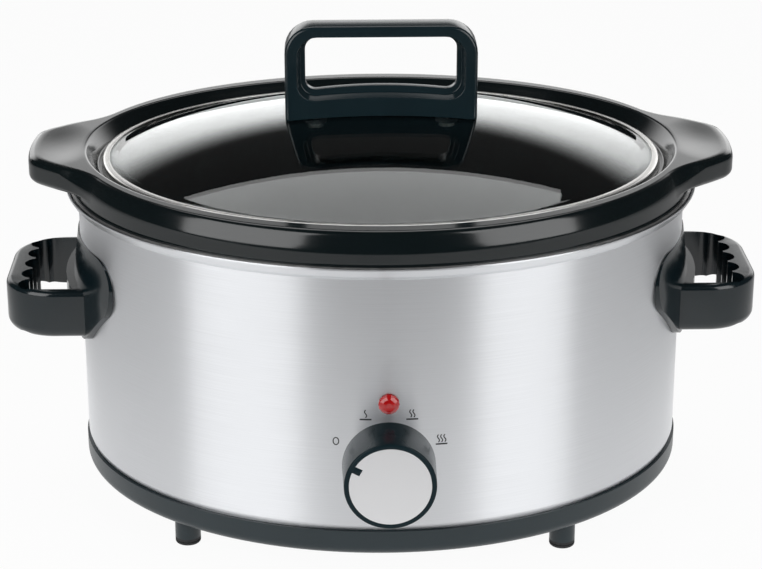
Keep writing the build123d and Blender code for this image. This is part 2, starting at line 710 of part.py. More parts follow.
def make_terminal_screws():
    """Slotted screws at the bottom of the wells."""
    bottom = tray_floor + BLOCK_HEIGHT - BLOCK_WELL_DEPTH
    slot = Box(2 * TERMINAL_SCREW_RADIUS, TERMINAL_SLOT_WIDTH, 2 * TERMINAL_SLOT_DEPTH)
    screws = []
    for x, y in terminal_places():
        screw = rod(TERMINAL_SCREW_RADIUS, bottom, bottom + TERMINAL_SCREW_HEIGHT, x, y)
        screws.append(screw - Pos(x, y, bottom + TERMINAL_SCREW_HEIGHT) * slot)
    return screws


def make_earth_tag():
    """Flat tag under the heat shield."""
    tag = Box(EARTH_TAG_LENGTH, EARTH_TAG_WIDTH, EARTH_TAG_SHEET)
    tag = Pos(EARTH_X, 0, shield_level - EARTH_TAG_SHEET / 2) * tag
    return tag - rod(TIE_THREAD_RADIUS + SEAT_GAP, shield_level - EARTH_TAG_SHEET, shield_level, EARTH_X)


def make_earth_screw():
    """Screw through the tag and the shield, with its nut on top."""
    head = shield_level - EARTH_TAG_SHEET
    top = shield_level + SHIELD_SHEET
    screw = rod(TIE_THREAD_RADIUS, head, top + NUT_HEIGHT, EARTH_X)
    screw += rod(EARTH_TAG_WIDTH / 2 - HOLE_GAP, head - SMALL_HEAD_HEIGHT, head, EARTH_X)
    return [screw, upright_nut(top, EARTH_X, 0)]


def flange_outline():
    """Shield outline of the handle's flange, seen from the end of the body."""
    top = grip_top + FLANGE_RISE
    bottom = grip_bottom - FLANGE_DROP
    half_top = FLANGE_TOP_WIDTH / 2
    half_foot = FLANGE_FOOT_WIDTH / 2
    points = [(-half_top, top), (half_top, top), (half_top, top - FLANGE_SHOULDER),
              (half_foot, bottom), (-half_foot, bottom), (-half_top, top - FLANGE_SHOULDER)]
    shield = make_face(Polyline(*points, close=True))
    return fillet(shield.vertices(), FLANGE_ROUND)


def flange_section(thickness, thinning, level):
    """Oval of the flange's outer side, closer to the wrap towards the front and back."""
    return Plane.XY.offset(level) * Ellipse(body_x + thickness, body_y + thickness - thinning)


def make_right_handle():
    """D-shaped loop with finger scallops, a web and a flange that hugs the wrap."""
    end = body_x + GRIP_REACH
    start = body_x / 2
    plan = Pos(start, 0) * Rectangle(end - start, GRIP_WIDTH, align=(Align.MIN, Align.CENTER))
    plan = fillet(plan.vertices().group_by(Axis.X)[-1], GRIP_CORNER)
    loop = extrude(Plane.XY.offset(grip_bottom) * plan, GRIP_HEIGHT)
    outer_top = loop.faces().sort_by(Axis.Z)[-1].edges().sort_by(Axis.X)[1:]
    loop = fillet(outer_top, GRIP_TOP_EDGE)
    outer_foot = loop.faces().sort_by(Axis.Z)[0].edges().sort_by(Axis.X)[1:]
    loop = fillet(outer_foot, GRIP_FOOT_EDGE)
    inner_end = end - GRIP_THICKNESS
    half_width = GRIP_WIDTH / 2 - ARM_WALL
    fingers = Pos(start, 0) * Rectangle(inner_end - start, 2 * half_width, align=(Align.MIN, Align.CENTER))
    fingers = fillet(fingers.vertices().group_by(Axis.X)[-1], FINGER_CORNER)
    scallop_x = inner_end + SCALLOP_DEPTH - SCALLOP_RADIUS
    for number in range(SCALLOP_COUNT):
        y = (number - (SCALLOP_COUNT - 1) / 2) * SCALLOP_PITCH
        fingers += Pos(scallop_x, y) * Circle(SCALLOP_RADIUS)
    fingers -= Ellipse(body_x + WEB_DEPTH, body_y + WEB_DEPTH)
    loop -= extrude(Plane.XY.offset(grip_bottom) * fingers, GRIP_HEIGHT)
    top = grip_top + FLANGE_RISE
    bottom = grip_bottom - FLANGE_DROP
    bulge = loft([flange_section(FLANGE_THICKNESS, FLANGE_THINNING, bottom),
                  flange_section(FLANGE_THICKNESS, FLANGE_THINNING, grip_top),
                  flange_section(FLANGE_EDGE, FLANGE_EDGE, top)], ruled=True)
    flange = extrude(end_plane(start) * flange_outline(), end - start) & bulge
    handle = loop + flange
    handle -= block(body_oval, SEAT_GAP, bottom, top)
    for level in handle_screw_levels():
        bite = body_x + HANDLE_SCREW_BITE + SEAT_GAP
        handle -= end_rod(HANDLE_SCREW_RADIUS + SEAT_GAP, start, bite, level)
    return handle


def make_handle_screws():
    """Screws from inside the wrap into the web of each side handle."""
    screws = []
    for level in handle_screw_levels():
        head = body_x - WRAP_SHEET - SEAT_GAP
        screw = end_rod(HANDLE_SCREW_RADIUS, head, body_x + HANDLE_SCREW_BITE, level)
        screw += end_rod(HANDLE_HEAD_RADIUS, head - HANDLE_HEAD_HEIGHT, head, level)
        screws += [screw, mirror(screw, Plane.YZ)]
    return screws


def ear_outline():
    """Plan of the right-hand ear: two straight sides and a softly rounded end."""
    tip_x = ear_tip_x - EAR_TIP_BOW
    tip_y = EAR_TIP_WIDTH / 2
    edges = [Line((ear_root_x, ear_root_y), (tip_x, tip_y)),
             ThreePointArc((tip_x, tip_y), (ear_tip_x, 0), (tip_x, -tip_y)),
             Line((tip_x, -tip_y), (ear_root_x, -ear_root_y)),
             Line((ear_root_x, -ear_root_y), (ear_root_x, ear_root_y))]
    ear = make_face(Wire(Curve() + edges))
    return fillet(ear.vertices().group_by(Axis.X)[-1], EAR_TIP_ROUND)


def rim_outline():
    """Plan of the crock's rim with both ears, blended at the four places where they meet."""
    ear = ear_outline()
    plan = Ellipse(rim_x, rim_y) + ear + mirror(ear, Plane.YZ)
    inwards = sorted(plan.vertices(), key=lambda vertex: abs(vertex.X))
    return fillet(inwards[:4], EAR_ROOT_ROUND)


def rim_sweep():
    """Space above the rim, which rises in one long curve from the middle to the tips of the ears."""
    tip_level = rim_top + EAR_RISE
    edges = [ThreePointArc((-ear_tip_x, tip_level), (0, rim_top), (ear_tip_x, tip_level)),
             Line((ear_tip_x, tip_level), (ear_tip_x, tip_level + RIM_HEIGHT)),
             Line((ear_tip_x, tip_level + RIM_HEIGHT), (-ear_tip_x, tip_level + RIM_HEIGHT)),
             Line((-ear_tip_x, tip_level + RIM_HEIGHT), (-ear_tip_x, tip_level))]
    return extrude(front_plane(0) * make_face(Wire(Curve() + edges)), rim_y, both=True)


def ear_dish():
    """Shallow oval hollow in the top of the right-hand ear, as part of a drawn-in ball."""
    half_width = DISH_WIDTH / 2
    radius = (half_width ** 2 + DISH_DEPTH ** 2) / (2 * DISH_DEPTH)
    ball = scale(Sphere(radius), by=(DISH_LENGTH / DISH_WIDTH, 1, 1))
    middle = ear_tip_x - RIM_ROUND - DISH_LENGTH / 2
    return Pos(middle, 0, rim_top + EAR_RISE - DISH_DEPTH + radius) * ball


def make_crock():
    """Glazed oval crock: drafted pot, tall rim with two dished ears, and a seat for the lid."""
    rim = extrude(Plane.XY.offset(ear_bottom) * rim_outline(), EAR_THICKNESS + EAR_RISE) - rim_sweep()
    rim = fillet(rim.faces().sort_by(Axis.Z)[-1].edges(), RIM_ROUND)
    rim = fillet(rim.edges().group_by(Axis.Z)[0], EAR_UNDER_ROUND)
    rim -= ear_dish()
    rim -= mirror(ear_dish(), Plane.YZ)
    crock = rim + block(rim_oval, 0, rim_bottom, rim_top - RIM_ROUND)
    crock += vessel(crock_outer, CROCK_CORNER, crock_bottom, rim_bottom)
    crock -= stack(lid_oval, (LID_PLAY, seat_level), (LID_PLAY + SEAT_FLARE, rim_top + EAR_RISE))
    return crock - vessel(crock_inner, CROCK_CORNER, crock_floor, seat_level)


def dome_level(x):
    """Height of the dome's outer curve above the brim, at a distance from the middle."""
    return DOME_RISE - dome_radius + sqrt(dome_radius ** 2 - x ** 2)


def dome_curve(level):
    """Half of the dome's curve, from its edge up to its top, over a brim at one height."""
    halfway = (dome_x / 2, level + dome_level(dome_x / 2))
    return ThreePointArc((dome_x, level), halfway, (0, level + DOME_RISE))


def glass_profile(lift):
    """Half section of the domed glass and its brim, lifted off its place."""
    top = brim_top + lift
    bottom = brim_bottom + lift
    edges = [dome_curve(top), Line((0, top + DOME_RISE), (0, bottom + DOME_RISE)), dome_curve(bottom),
             Line((dome_x, bottom), (glass_x, bottom)), Line((glass_x, bottom), (glass_x, top)),
             Line((glass_x, top), (dome_x, top))]
    return Plane.XZ * make_face(Wire(Curve() + edges))


def dome_space_profile():
    """Half section of everything under the dome, from the brim upwards, for what stands on the glass."""
    top = brim_top + SEAT_GAP
    edges = [dome_curve(top), Line((0, top + DOME_RISE), (0, seat_level)),
             Line((0, seat_level), (dome_x, seat_level)), Line((dome_x, seat_level), (dome_x, top))]
    return Plane.XZ * make_face(Wire(Curve() + edges))


def turned_oval(profile):
    """Solid turned round the upright axis, then drawn in to the lid's depth."""
    return scale(revolve(profile, Axis.Z), by=(1, glass_y / glass_x, 1))


def lid_screw_places():
    """Places of the two screws under the lid's handle."""
    return [-LID_SCREW_SPACING / 2, LID_SCREW_SPACING / 2]


def make_lid_glass():
    """Domed oval glass with a flat brim and two screw holes."""
    glass = turned_oval(glass_profile(0))
    for x in lid_screw_places():
        glass -= rod(LID_SCREW_RADIUS + HOLE_GAP, brim_bottom, dome_top, x)
    return glass


def make_lid_ring():
    """Steel channel folded over the brim of the glass."""
    ring = block(lid_oval, 0, seat_level, ring_top)
    ring = fillet(ring.edges().group_by(Axis.Z)[-1], RING_ROUND)
    ring -= block(lid_oval, -RING_SHEET, brim_bottom, brim_top)
    return ring - block(lid_oval, -RING_LIP, seat_level, ring_top)


def window_outline():
    """Finger window of the lid's handle, with an arched lower edge."""
    low = window_bottom - WINDOW_ARCH
    edges = [Line((-window_half, low), (-window_half, window_top)),
             Line((-window_half, window_top), (window_half, window_top)),
             Line((window_half, window_top), (window_half, low)),
             ThreePointArc((window_half, low), (0, window_bottom), (-window_half, low))]
    window = make_face(Wire(Curve() + edges))
    return fillet(window.vertices(), WINDOW_CORNER)


def make_lid_loop():
    """Upright loop on the lid: flat sides, a bevelled window and a foot that follows the dome."""
    half = LOOP_THICKNESS / 2
    plan = Pos(0, loop_top) * Rectangle(LOOP_WIDTH, LOOP_RISE + DOME_RISE, align=(Align.CENTER, Align.MAX))
    plan = fillet(plan.vertices().group_by(Axis.Y)[-1], LOOP_CORNER)
    loop = extrude(front_plane(-half) * plan, LOOP_THICKNESS)
    back, *_, front = loop.faces().sort_by(-Axis.Y)
    loop = fillet(back.edges().sort_by(Axis.Z)[1:] + front.edges().sort_by(Axis.Z)[1:], LOOP_EDGE)
    window = window_outline()
    loop -= extrude(front_plane(-half) * window, LOOP_THICKNESS)
    mouth = offset(window, WINDOW_BEVEL)
    loop -= loft([front_plane(half - WINDOW_BEVEL) * window, front_plane(half) * mouth], ruled=True)
    loop -= turned_oval(dome_space_profile())
    for x in lid_screw_places():
        loop -= rod(LID_SCREW_RADIUS + SEAT_GAP, brim_top, dome_top + LID_SCREW_BITE + SEAT_GAP, x)
    return loop


def lid_head_top():
    """Height of the lid screws' heads: a washer below the glass at the washer's outer edge."""
    low_side = brim_bottom + dome_level(LID_SCREW_SPACING / 2 + WASHER_RADIUS)
    return low_side - SEAT_GAP - WASHER_HEIGHT


def make_lid_washers():
    """Soft washers between the glass and the screw heads, shaped to the glass."""
    washers = []
    cover = turned_oval(glass_profile(-SEAT_GAP))
    for x in lid_screw_places():
        washer = rod(WASHER_RADIUS, lid_head_top(), brim_bottom + DOME_RISE, x) - cover
        washer = washer.solids().sort_by(Axis.Z)[0]
        washers.append(washer - rod(LID_SCREW_RADIUS + HOLE_GAP, lid_head_top(), dome_top, x))
    return washers


def make_lid_screws():
    """Screws up through the washers and the glass into the loop."""
    screws = []
    for x in lid_screw_places():
        screw = rod(LID_SCREW_RADIUS, lid_head_top(), dome_top + LID_SCREW_BITE, x)
        screws.append(screw + rod(LID_HEAD_RADIUS, lid_head_top() - LID_HEAD_HEIGHT, lid_head_top(), x))
    return screws


def main():
    """Make every piece and write one file for each."""
    right_handle = make_right_handle()
    pieces = {
        "base_tray": make_base_tray(),
        "foot_pads": make_foot_pads(),
        "steel_wrap": make_wrap(),
        "heating_pan": make_heating_pan(),
        "heater_band": make_heater_band(),
        "band_clamp": make_band_clamp(),
        "clamp_screw": make_clamp_screw(),
        "heat_shield": make_heat_shield(),
        "tie_rods": make_tie_rods(),
        "tie_nuts": make_tie_nuts(),
        "switch_bracket": make_switch_bracket(),
        "bracket_screws": make_bracket_screws(),
        "rotary_switch": make_rotary_switch(),
        "switch_screws": make_switch_screws(),
        "indicator_lens": make_indicator_lens(),
        "neon_lamp": make_neon_lamp(),
        "cord_bushing": make_cord_bushing(),
        "thermal_fuse": make_thermal_fuse(),
        "fuse_clip": make_fuse_clip(),
        "terminal_block": make_terminal_block(),
        "terminal_screws": make_terminal_screws(),
        "earth_tag": make_earth_tag(),
        "earth_screw": make_earth_screw(),
        "right_handle": right_handle,
        "left_handle": mirror(right_handle, Plane.YZ),
        "handle_screws": make_handle_screws(),
        "switch_shaft": make_switch_shaft(),
        "knob": make_knob(),
        "knob_disc": make_knob_disc(),
        "crock": make_crock(),
        "lid_glass": make_lid_glass(),
        "lid_ring": make_lid_ring(),
        "lid_loop": make_lid_loop(),
        "lid_washers": make_lid_washers(),
        "lid_screws": make_lid_screws(),
    }
    os.makedirs("parts", exist_ok=True)
    place = Pos(0, middle_shift, 0)
    for name, piece in pieces.items():
        if isinstance(piece, list):
            shape = Compound(children=[place * one for one in piece])
        else:
            shape = place * piece
        export_step(shape, os.path.join("parts", name + ".step"))


main()
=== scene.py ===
import json

import bmesh
import bpy
import numpy as np
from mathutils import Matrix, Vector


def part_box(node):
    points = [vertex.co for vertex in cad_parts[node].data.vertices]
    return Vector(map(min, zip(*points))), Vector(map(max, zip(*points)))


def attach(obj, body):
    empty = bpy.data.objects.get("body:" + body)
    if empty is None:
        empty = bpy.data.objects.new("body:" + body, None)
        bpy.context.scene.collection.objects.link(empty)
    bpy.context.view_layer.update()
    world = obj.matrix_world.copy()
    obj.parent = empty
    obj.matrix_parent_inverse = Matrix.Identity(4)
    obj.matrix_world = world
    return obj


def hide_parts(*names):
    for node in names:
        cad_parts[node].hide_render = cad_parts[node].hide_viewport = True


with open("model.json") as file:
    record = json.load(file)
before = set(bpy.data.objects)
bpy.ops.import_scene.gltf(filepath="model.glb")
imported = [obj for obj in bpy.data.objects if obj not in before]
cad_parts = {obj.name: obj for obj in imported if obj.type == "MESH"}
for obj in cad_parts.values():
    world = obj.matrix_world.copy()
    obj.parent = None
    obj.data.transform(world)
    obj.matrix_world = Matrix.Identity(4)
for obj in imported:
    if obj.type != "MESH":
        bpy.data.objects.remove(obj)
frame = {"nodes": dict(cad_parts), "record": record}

bl_info = {
    "name": "Oval slow cooker",
    "version": (1, 0, 0),
    "blender": (4, 5, 0),
    "location": "View3D > Sidebar > Cooker",
    "description": "Dresses the packed slow cooker: skins, finishes, heat marks, floor and light",
    "category": "Object",
}

MM = 0.001
AROUND = 384  # points around an oval
FLOOR_SHARES = np.linspace(0, 1, 5)[:-1]  # sizes of the ovals that fill a flat floor
PHOTO_WIDTH = 762  # pixels
SENSOR = 36.0  # width in millimetres


def node_half(node):
    """Half of a node's size along each axis."""
    low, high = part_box(node)
    return (np.array(high) - np.array(low)) / 2


def node_middle(node):
    """Middle of a node's box."""
    low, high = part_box(node)
    return (np.array(high) + np.array(low)) / 2


def node_low(node):
    """Lowest corner of a node's box."""
    return np.array(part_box(node)[0])


def node_high(node):
    """Highest corner of a node's box."""
    return np.array(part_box(node)[1])


# Settings

def length(name, description, millimetres):
    """Property that holds a length in metres, from its default in millimetres."""
    return bpy.props.FloatProperty(name=name, description=description, default=millimetres * MM, precision=5,
                                   unit='LENGTH')


def colour(name, description, default):
    """Property that holds a colour."""
    return bpy.props.FloatVectorProperty(name=name, description=description, default=default, size=3, min=0.0,
                                         max=1.0, subtype='COLOR')


def amount(name, description, default):
    """Property that holds a plain number."""
    return bpy.props.FloatProperty(name=name, description=description, default=default)


def angle_of(name, description, degrees):
    """Property that holds an angle."""
    return bpy.props.FloatProperty(name=name, description=description, default=float(np.radians(degrees)),
                                   subtype='ANGLE')


class CookerSizes(bpy.types.PropertyGroup):
    """Sizes of the dressed pieces. What the frame gives isn't repeated here."""

    sheet: length("Wrap sheet", "Thickness of the steel wrap", 0.8)
    flare_reach: length("Flare reach", "How far the top of the wrap leans out", 5.3)
    lip_ends: length("Lip ends", "How much further the lip stands out at the two ends", 1.3)
    flare_height: length("Flare height", "Height of the leaning band", 6.3)
    knee_reach: amount("Knee reach", "Share of the flare's reach at its knee", 0.62)
    knee_level: amount("Knee level", "Share of the flare's height at its knee", 0.35)
    lip_height: length("Lip height", "Height of the upright lip over the flare", 1.1)
    hem_height: length("Hem height", "Height of the turned-in lower hem", 3.6)
    hem_inset: length("Hem inset", "How far the hem turns in", 1.0)
    rim_ends: length("Rim ends", "How far the rim passes the wrap's wall at its ends", 3.4)
    rim_swell: length("Rim swell", "How far the rim passes the frame's crock front and back", 1.8)
    rim_height: length("Rim height", "Height of the crock's rim", 19.0)
    rim_roll: length("Rim roll", "Height over which the rim's face leans in", 9.4)
    rim_lean: length("Rim lean", "How far the rim's face leans in", 2.8)
    rim_round: length("Rim round", "How far the rim's face and its rounded edge come in together", 5.6)
    seat_depth: length("Seat depth", "Height of the rim over the lid's seat", 8.3)
    seat_flare: length("Seat flare", "How far the slope over the seat leans out", 7.0)
    seat_width: length("Seat width", "Width of the ledge under the lid", 6.0)
    seat_round: length("Seat round", "Round over and under the slope to the seat", 1.2)
    lid_play: length("Lid play", "Room around the lid on its seat", 2.5)
    pot_wall: length("Pot wall", "Thickness of the crock's wall", 7.5)
    pot_base: length("Pot base", "Thickness of the crock's floor", 8.0)
    pot_draft: length("Pot draft", "How far the crock's wall leans in towards its floor", 5.0)
    pot_corner: length("Pot corner", "Round between the crock's wall and its floor", 17.0)
    pan_clearance: length("Pan clearance", "Room between the crock and the heating pan", 2.0)
    pan_sheet: length("Pan sheet", "Thickness of the heating pan", 0.8)
    ear_rise: length("Ear rise", "How far the rim climbs to the tips of the ears", 2.4)
    ear_root: angle_of("Ear root", "Where the ears leave the rim", 21.5)
    ear_width: length("Ear width", "Width of the ear at its tip", 57.0)
    ear_bow: length("Ear bow", "How far the tip of the ear bows out", 3.0)
    ear_tip_round: length("Ear tip round", "Round at the corners of the ear", 19.0)
    ear_root_round: length("Ear root round", "Round where the ear joins the rim", 60.0)
    ear_thickness: length("Ear thickness", "Thickness of the ear", 13.0)
    ear_under_round: length("Ear under round", "Round under the edge of the ear", 4.0)
    ear_roll: length("Ear roll", "Height of the round along the top of the ear's edge", 3.6)
    ear_blend: length("Ear blend", "Reach over which the ear's edge replaces the rim's", 10.0)
    dish_depth: length("Dish depth", "Depth of the hollow in the ear", 0.8)
    dish_length: length("Dish length", "Length of the hollow along the cooker", 40.0)
    dish_width: length("Dish width", "Width of the hollow across the ear", 84.0)
    dish_reach: length("Dish reach", "Distance of the hollow's middle from the tip of the ear", 18.5)
    ring_sheet: length("Ring sheet", "Thickness of the lid's steel ring", 0.7)
    ring_lip: length("Ring lip", "Width of the lid's steel ring", 4.5)
    ring_round: length("Ring round", "Round on the upper outer edge of the ring", 2.6)
    glass: length("Glass", "Thickness of the lid's glass", 3.4)
    glass_brim: length("Glass brim", "Width of the flat brim of the glass", 6.0)
    loop_corner: length("Loop corner", "Round at the top corners of the lid's handle", 16.5)
    loop_draft: amount("Loop draft", "Fall of the handle's top towards its front, over its depth", 0.05)
    loop_edge: length("Loop edge", "Round along the edges of the lid's handle", 2.0)
    loop_top_bar: length("Loop top bar", "Height of the bar over the window", 8.0)
    loop_side_bar: length("Loop side bar", "Width of the bars beside the window", 11.8)
    loop_foot_bar: length("Loop foot bar", "Height of the bar under the window", 16.9)
    window_corner: length("Window corner", "Round at the corners of the window", 7.0)
    window_arch: length("Window arch", "How far the window's lower edge arches up", 3.0)
    window_web: length("Window web", "Thickness of the level edge around the window", 4.6)
    window_back: length("Window back", "Height of the slope behind the window's edge", 2.6)
    recess_depth: length("Recess depth", "Depth of the recess around the window", 5.8)
    recess_side: length("Recess side", "Width of the recess beside the window", 4.9)
    recess_low: length("Recess low", "Height of the recess below the window", 6.0)
    recess_top: length("Recess top", "Height of the recess over the window", 1.2)
    recess_step: length("Recess step", "Height of the upright step below the window", 3.5)
    knob_front_radius: length("Knob front", "Radius of the knob at its front", 24.9)
    knob_round: length("Knob round", "Round along the knob's front edge", 1.4)
    knob_wall: length("Knob wall", "Thickness of the knob's wall", 2.4)
    knob_face: length("Knob face", "Thickness of the knob's face", 3.0)
    knob_recess: length("Knob recess", "Depth of the recess for the plate", 1.3)
    knob_bore: length("Knob bore", "Radius of the bore for the shaft", 3.05)
    plate_play: length("Plate play", "Room around the plate in its recess", 0.1)
    hub_radius: length("Hub radius", "Radius of the hub in the knob", 6.0)
    hub_length: length("Hub length", "Length of the hub in the knob", 18.0)
    pointer_angle: angle_of("Pointer angle", "Turn of the pointer to the left of upright", 62.0)
    pointer_length: length("Pointer length", "Length of the knob's pointer", 4.4)
    pointer_width: length("Pointer width", "Width of the knob's pointer", 3.8)
    lens_rise: length("Lens rise", "Height of the lens's dome", 2.2)
    lens_flange: length("Lens flange", "Thickness of the lens's flange", 1.2)
    lens_neck: length("Lens neck", "Radius of the lens's neck", 4.6)
    mark_radius: length("Mark radius", "Distance of the heat marks from the knob's axis", 31.6)
    mark_stroke: length("Mark stroke", "Width of the printed lines", 0.6)
    bar_stroke: length("Bar stroke", "Width of the printed bars", 0.85)
    mark_height: length("Mark height", "Height of a printed wave", 4.5)
    wave_sway: length("Wave sway", "How far a wave swings to either side", 0.55)
    wave_pitch: length("Wave pitch", "Distance between the waves of a mark", 1.75)
    bar_length: length("Bar length", "Length of a printed bar", 6.4)
    bar_drop: length("Bar drop", "Distance of the bar below the middle of its mark", 2.35)
    nought_width: length("Nought width", "Width of the printed nought", 3.0)
    nought_height: length("Nought height", "Height of the printed nought", 4.2)
    outer_mark: angle_of("Outer marks", "Turn of the first and the last mark from upright", 65.0)
    inner_mark: angle_of("Inner marks", "Turn of the two marks between them", 23.5)


class CookerColours(bpy.types.PropertyGroup):
    """Colours of the finishes."""

    steel: colour("Steel", "Brushed steel of the wrap", (0.755, 0.768, 0.790))
    glaze: colour("Glaze", "Black glaze of the crock", (0.003, 0.0065, 0.0075))
    plastic: colour("Plastic", "Black plastic of tray, handles and knob", (0.008, 0.0185, 0.0235))
    rubber: colour("Rubber", "Rubber of the feet", (0.014, 0.015, 0.016))
    glass: colour("Glass", "Clear glass of the lid", (0.90, 0.95, 0.94))
    polished: colour("Polished steel", "Steel ring of the lid", (0.80, 0.79, 0.77))
    plate: colour("Plate", "Spun plate on the knob", (0.74, 0.74, 0.75))
    lens: colour("Lens", "Red lens over the lamp", (0.62, 0.008, 0.010))
    sheet_metal: colour("Sheet metal", "Pan and heat shield", (0.50, 0.50, 0.50))
    plated: colour("Plated steel", "Screws, ties and brackets", (0.62, 0.61, 0.58))
    belt: colour("Belt", "Woven belt of the heater", (0.72, 0.69, 0.60))
    washer: colour("Washer", "Soft washers under the lid's handle", (0.05, 0.05, 0.05))
    moulding: colour("Moulding", "Switch and terminals", (0.70, 0.67, 0.58))
    brass: colour("Brass", "Terminal screws and earth tag", (0.72, 0.50, 0.22))
    ink: colour("Ink", "Printed heat marks", (0.010, 0.010, 0.011))
    floor: colour("Floor", "Pale studio floor", (0.92, 0.92, 0.92))


class StudioLight(bpy.types.PropertyGroup):
    """Level of each lamp, as the brightness that its face shows in a mirror."""

    side: amount("Side lamps", "Brightness of the two front softboxes", 3.05)
    top: amount("Top lamp", "Brightness of the softbox overhead", 1.6)
    room: amount("Room", "Brightness of the dim room around the stage", 0.04)
    backdrop: amount("Backdrop", "Brightness of the lit backdrop", 1.75)


def sizes():
    """Sizes set in the scene."""
    return bpy.context.scene.cooker_sizes


def colours():
    """Colours set in the scene."""
    return bpy.context.scene.cooker_colours


# Places that the frame gives

def body_half():
    """Half length and half depth of the oval wrap below its flare."""
    return node_half("steel_wrap")[:2] - sizes().flare_reach


def body_depth():
    """Where the upright axis of the oval lies along the depth."""
    return node_middle("steel_wrap")[1]


def lid_half():
    """Half length and half depth of the lid's ring."""
    return node_half("lid_ring")[:2]


def seat_level():
    """Height of the ledge that carries the lid."""
    return node_low("lid_ring")[2]


def rim_level():
    """Height of the crock's rim at its middle."""
    return seat_level() + sizes().seat_depth


# Grids and meshes

def patch(points, closed=False, poles=(False, False)):
    """Faces of one grid of points (around, along): a quad between each four neighbours, closed around, closed
    along where asked, and a fan at an end where all points are one pole. The map runs in metres along the
    widest line around and along the first line."""
    turns, stations = points.shape[:2]
    number = np.arange(turns * stations).reshape(turns, stations)
    for end, is_pole in zip((0, -1), poles):
        if is_pole:
            number[:, end] = number[0, end]
    row = np.arange(turns)[:, None]
    next_row = (row + 1) % turns
    column = np.arange(stations if closed else stations - 1)[None, :]
    next_column = (column + 1) % stations
    quads = np.stack([number[row, column], number[next_row, column],
                      number[next_row, next_column], number[row, next_column]], axis=-1)
    loops = np.linalg.norm(np.roll(points, -1, axis=0) - points, axis=2)
    around = np.append(0, np.cumsum(loops[:, loops.sum(axis=0).argmax()]))
    steps = np.linalg.norm(np.roll(points[0], -1, axis=0) - points[0], axis=1)
    along = np.append(0, np.cumsum(steps))
    u = np.stack([around[row], around[row + 1], around[row + 1], around[row]], axis=-1)
    v = np.stack([along[column], along[column], along[column + 1], along[column + 1]], axis=-1)
    u, v = np.broadcast_arrays(u, v)
    chart = np.stack([u, v], axis=-1)
    fans, fan_charts = [], []
    if poles[0]:
        fans.append(quads[:, 0][:, [0, 2, 3]])
        fan_charts.append(chart[:, 0][:, [0, 2, 3]])
        quads, chart = quads[:, 1:], chart[:, 1:]
    if poles[1]:
        fans.append(quads[:, -1][:, [0, 1, 2]])
        fan_charts.append(chart[:, -1][:, [0, 1, 2]])
        quads, chart = quads[:, :-1], chart[:, :-1]
    fans = np.concatenate(fans) if fans else np.zeros((0, 3), int)
    fan_charts = np.concatenate(fan_charts) if fan_charts else np.zeros((0, 3, 2))
    quads, chart = quads.reshape(-1, 4), chart.reshape(-1, 4, 2)
    places = points.reshape(-1, 3)
    corners = np.concatenate([quads[:, [0, 1, 2]], quads[:, [0, 2, 3]], fans])
    a, b, c = (places[corners[:, k]] for k in range(3))
    if np.einsum("ij,ij->", a, np.cross(b, c)) < 0:
        quads, chart = quads[:, ::-1], chart[:, ::-1]
        fans, fan_charts = fans[:, ::-1], fan_charts[:, ::-1]
    return places, quads, chart, fans, fan_charts


def skin(name, patches, finish, smooth=True):
    """One object from its patches, with unused points dropped and its map in metres."""
    places, quads, charts, fans, fan_charts = zip(*patches)
    starts = np.cumsum([0] + [len(part) for part in places])
    quads = np.concatenate([part + start for part, start in zip(quads, starts)])
    fans = np.concatenate([part + start for part, start in zip(fans, starts)])
    used, index = np.unique(np.concatenate([quads.ravel(), fans.ravel()]), return_inverse=True)
    faces = index[:quads.size].reshape(-1, 4).tolist() + index[quads.size:].reshape(-1, 3).tolist()
    mesh = bpy.data.meshes.new(name)
    mesh.from_pydata(np.concatenate(places)[used].tolist(), [], faces)
    chart = np.concatenate([np.concatenate(charts).reshape(-1, 2), np.concatenate(fan_charts).reshape(-1, 2)])
    mesh.uv_layers.new(name="Surface").uv.foreach_set("vector", chart.ravel())
    mesh.polygons.foreach_set("use_smooth", np.full(len(faces), smooth))
    mesh.materials.append(finish)
    piece = bpy.data.objects.new(name, mesh)
    bpy.context.scene.collection.objects.link(piece)
    return piece


def soften(corners, cut, steps=6, closed=True):
    """Each corner of an outline becomes a parabola that leaves both its sides at the cut distance. An open
    outline keeps its two ends."""
    corners = np.asarray(corners, float)
    cut = np.array(np.broadcast_to(cut, len(corners)), float)
    if not closed:
        cut[[0, -1]] = 0
    before = np.roll(corners, 1, axis=0) - corners
    after = np.roll(corners, -1, axis=0) - corners
    start = corners + before / np.linalg.norm(before, axis=1)[:, None] * cut[:, None]
    end = corners + after / np.linalg.norm(after, axis=1)[:, None] * cut[:, None]
    share = np.linspace(0, 1, steps)[None, :, None]
    curve = ((1 - share) ** 2 * start[:, None] + 2 * share * (1 - share) * corners[:, None]
             + share ** 2 * end[:, None])
    curve = curve.reshape(-1, corners.shape[1])
    return curve if closed else curve[steps - 1:len(curve) - steps + 1]


def turn_angles(count=AROUND):
    """Even angles once around."""
    return np.linspace(0, 2 * np.pi, count, endpoint=False)


def unit(angle):
    """Point (cosine, sine) of a circle of radius one."""
    return np.stack([np.cos(angle), np.sin(angle)], axis=-1)


def oval_radius(angle, half_x, half_y):
    """Distance from the middle to an oval along an angle: one over the root of the summed squares of cosine
    over half length and sine over half depth."""
    return 1 / np.sqrt((np.cos(angle) / half_x) ** 2 + (np.sin(angle) / half_y) ** 2)


def grown_ovals(angle, half, offsets):
    """Distance from the middle along each angle to an oval grown by each offset."""
    offsets = np.asarray(offsets)[None, :]
    return oval_radius(angle, half[0] + offsets, half[1] + offsets)


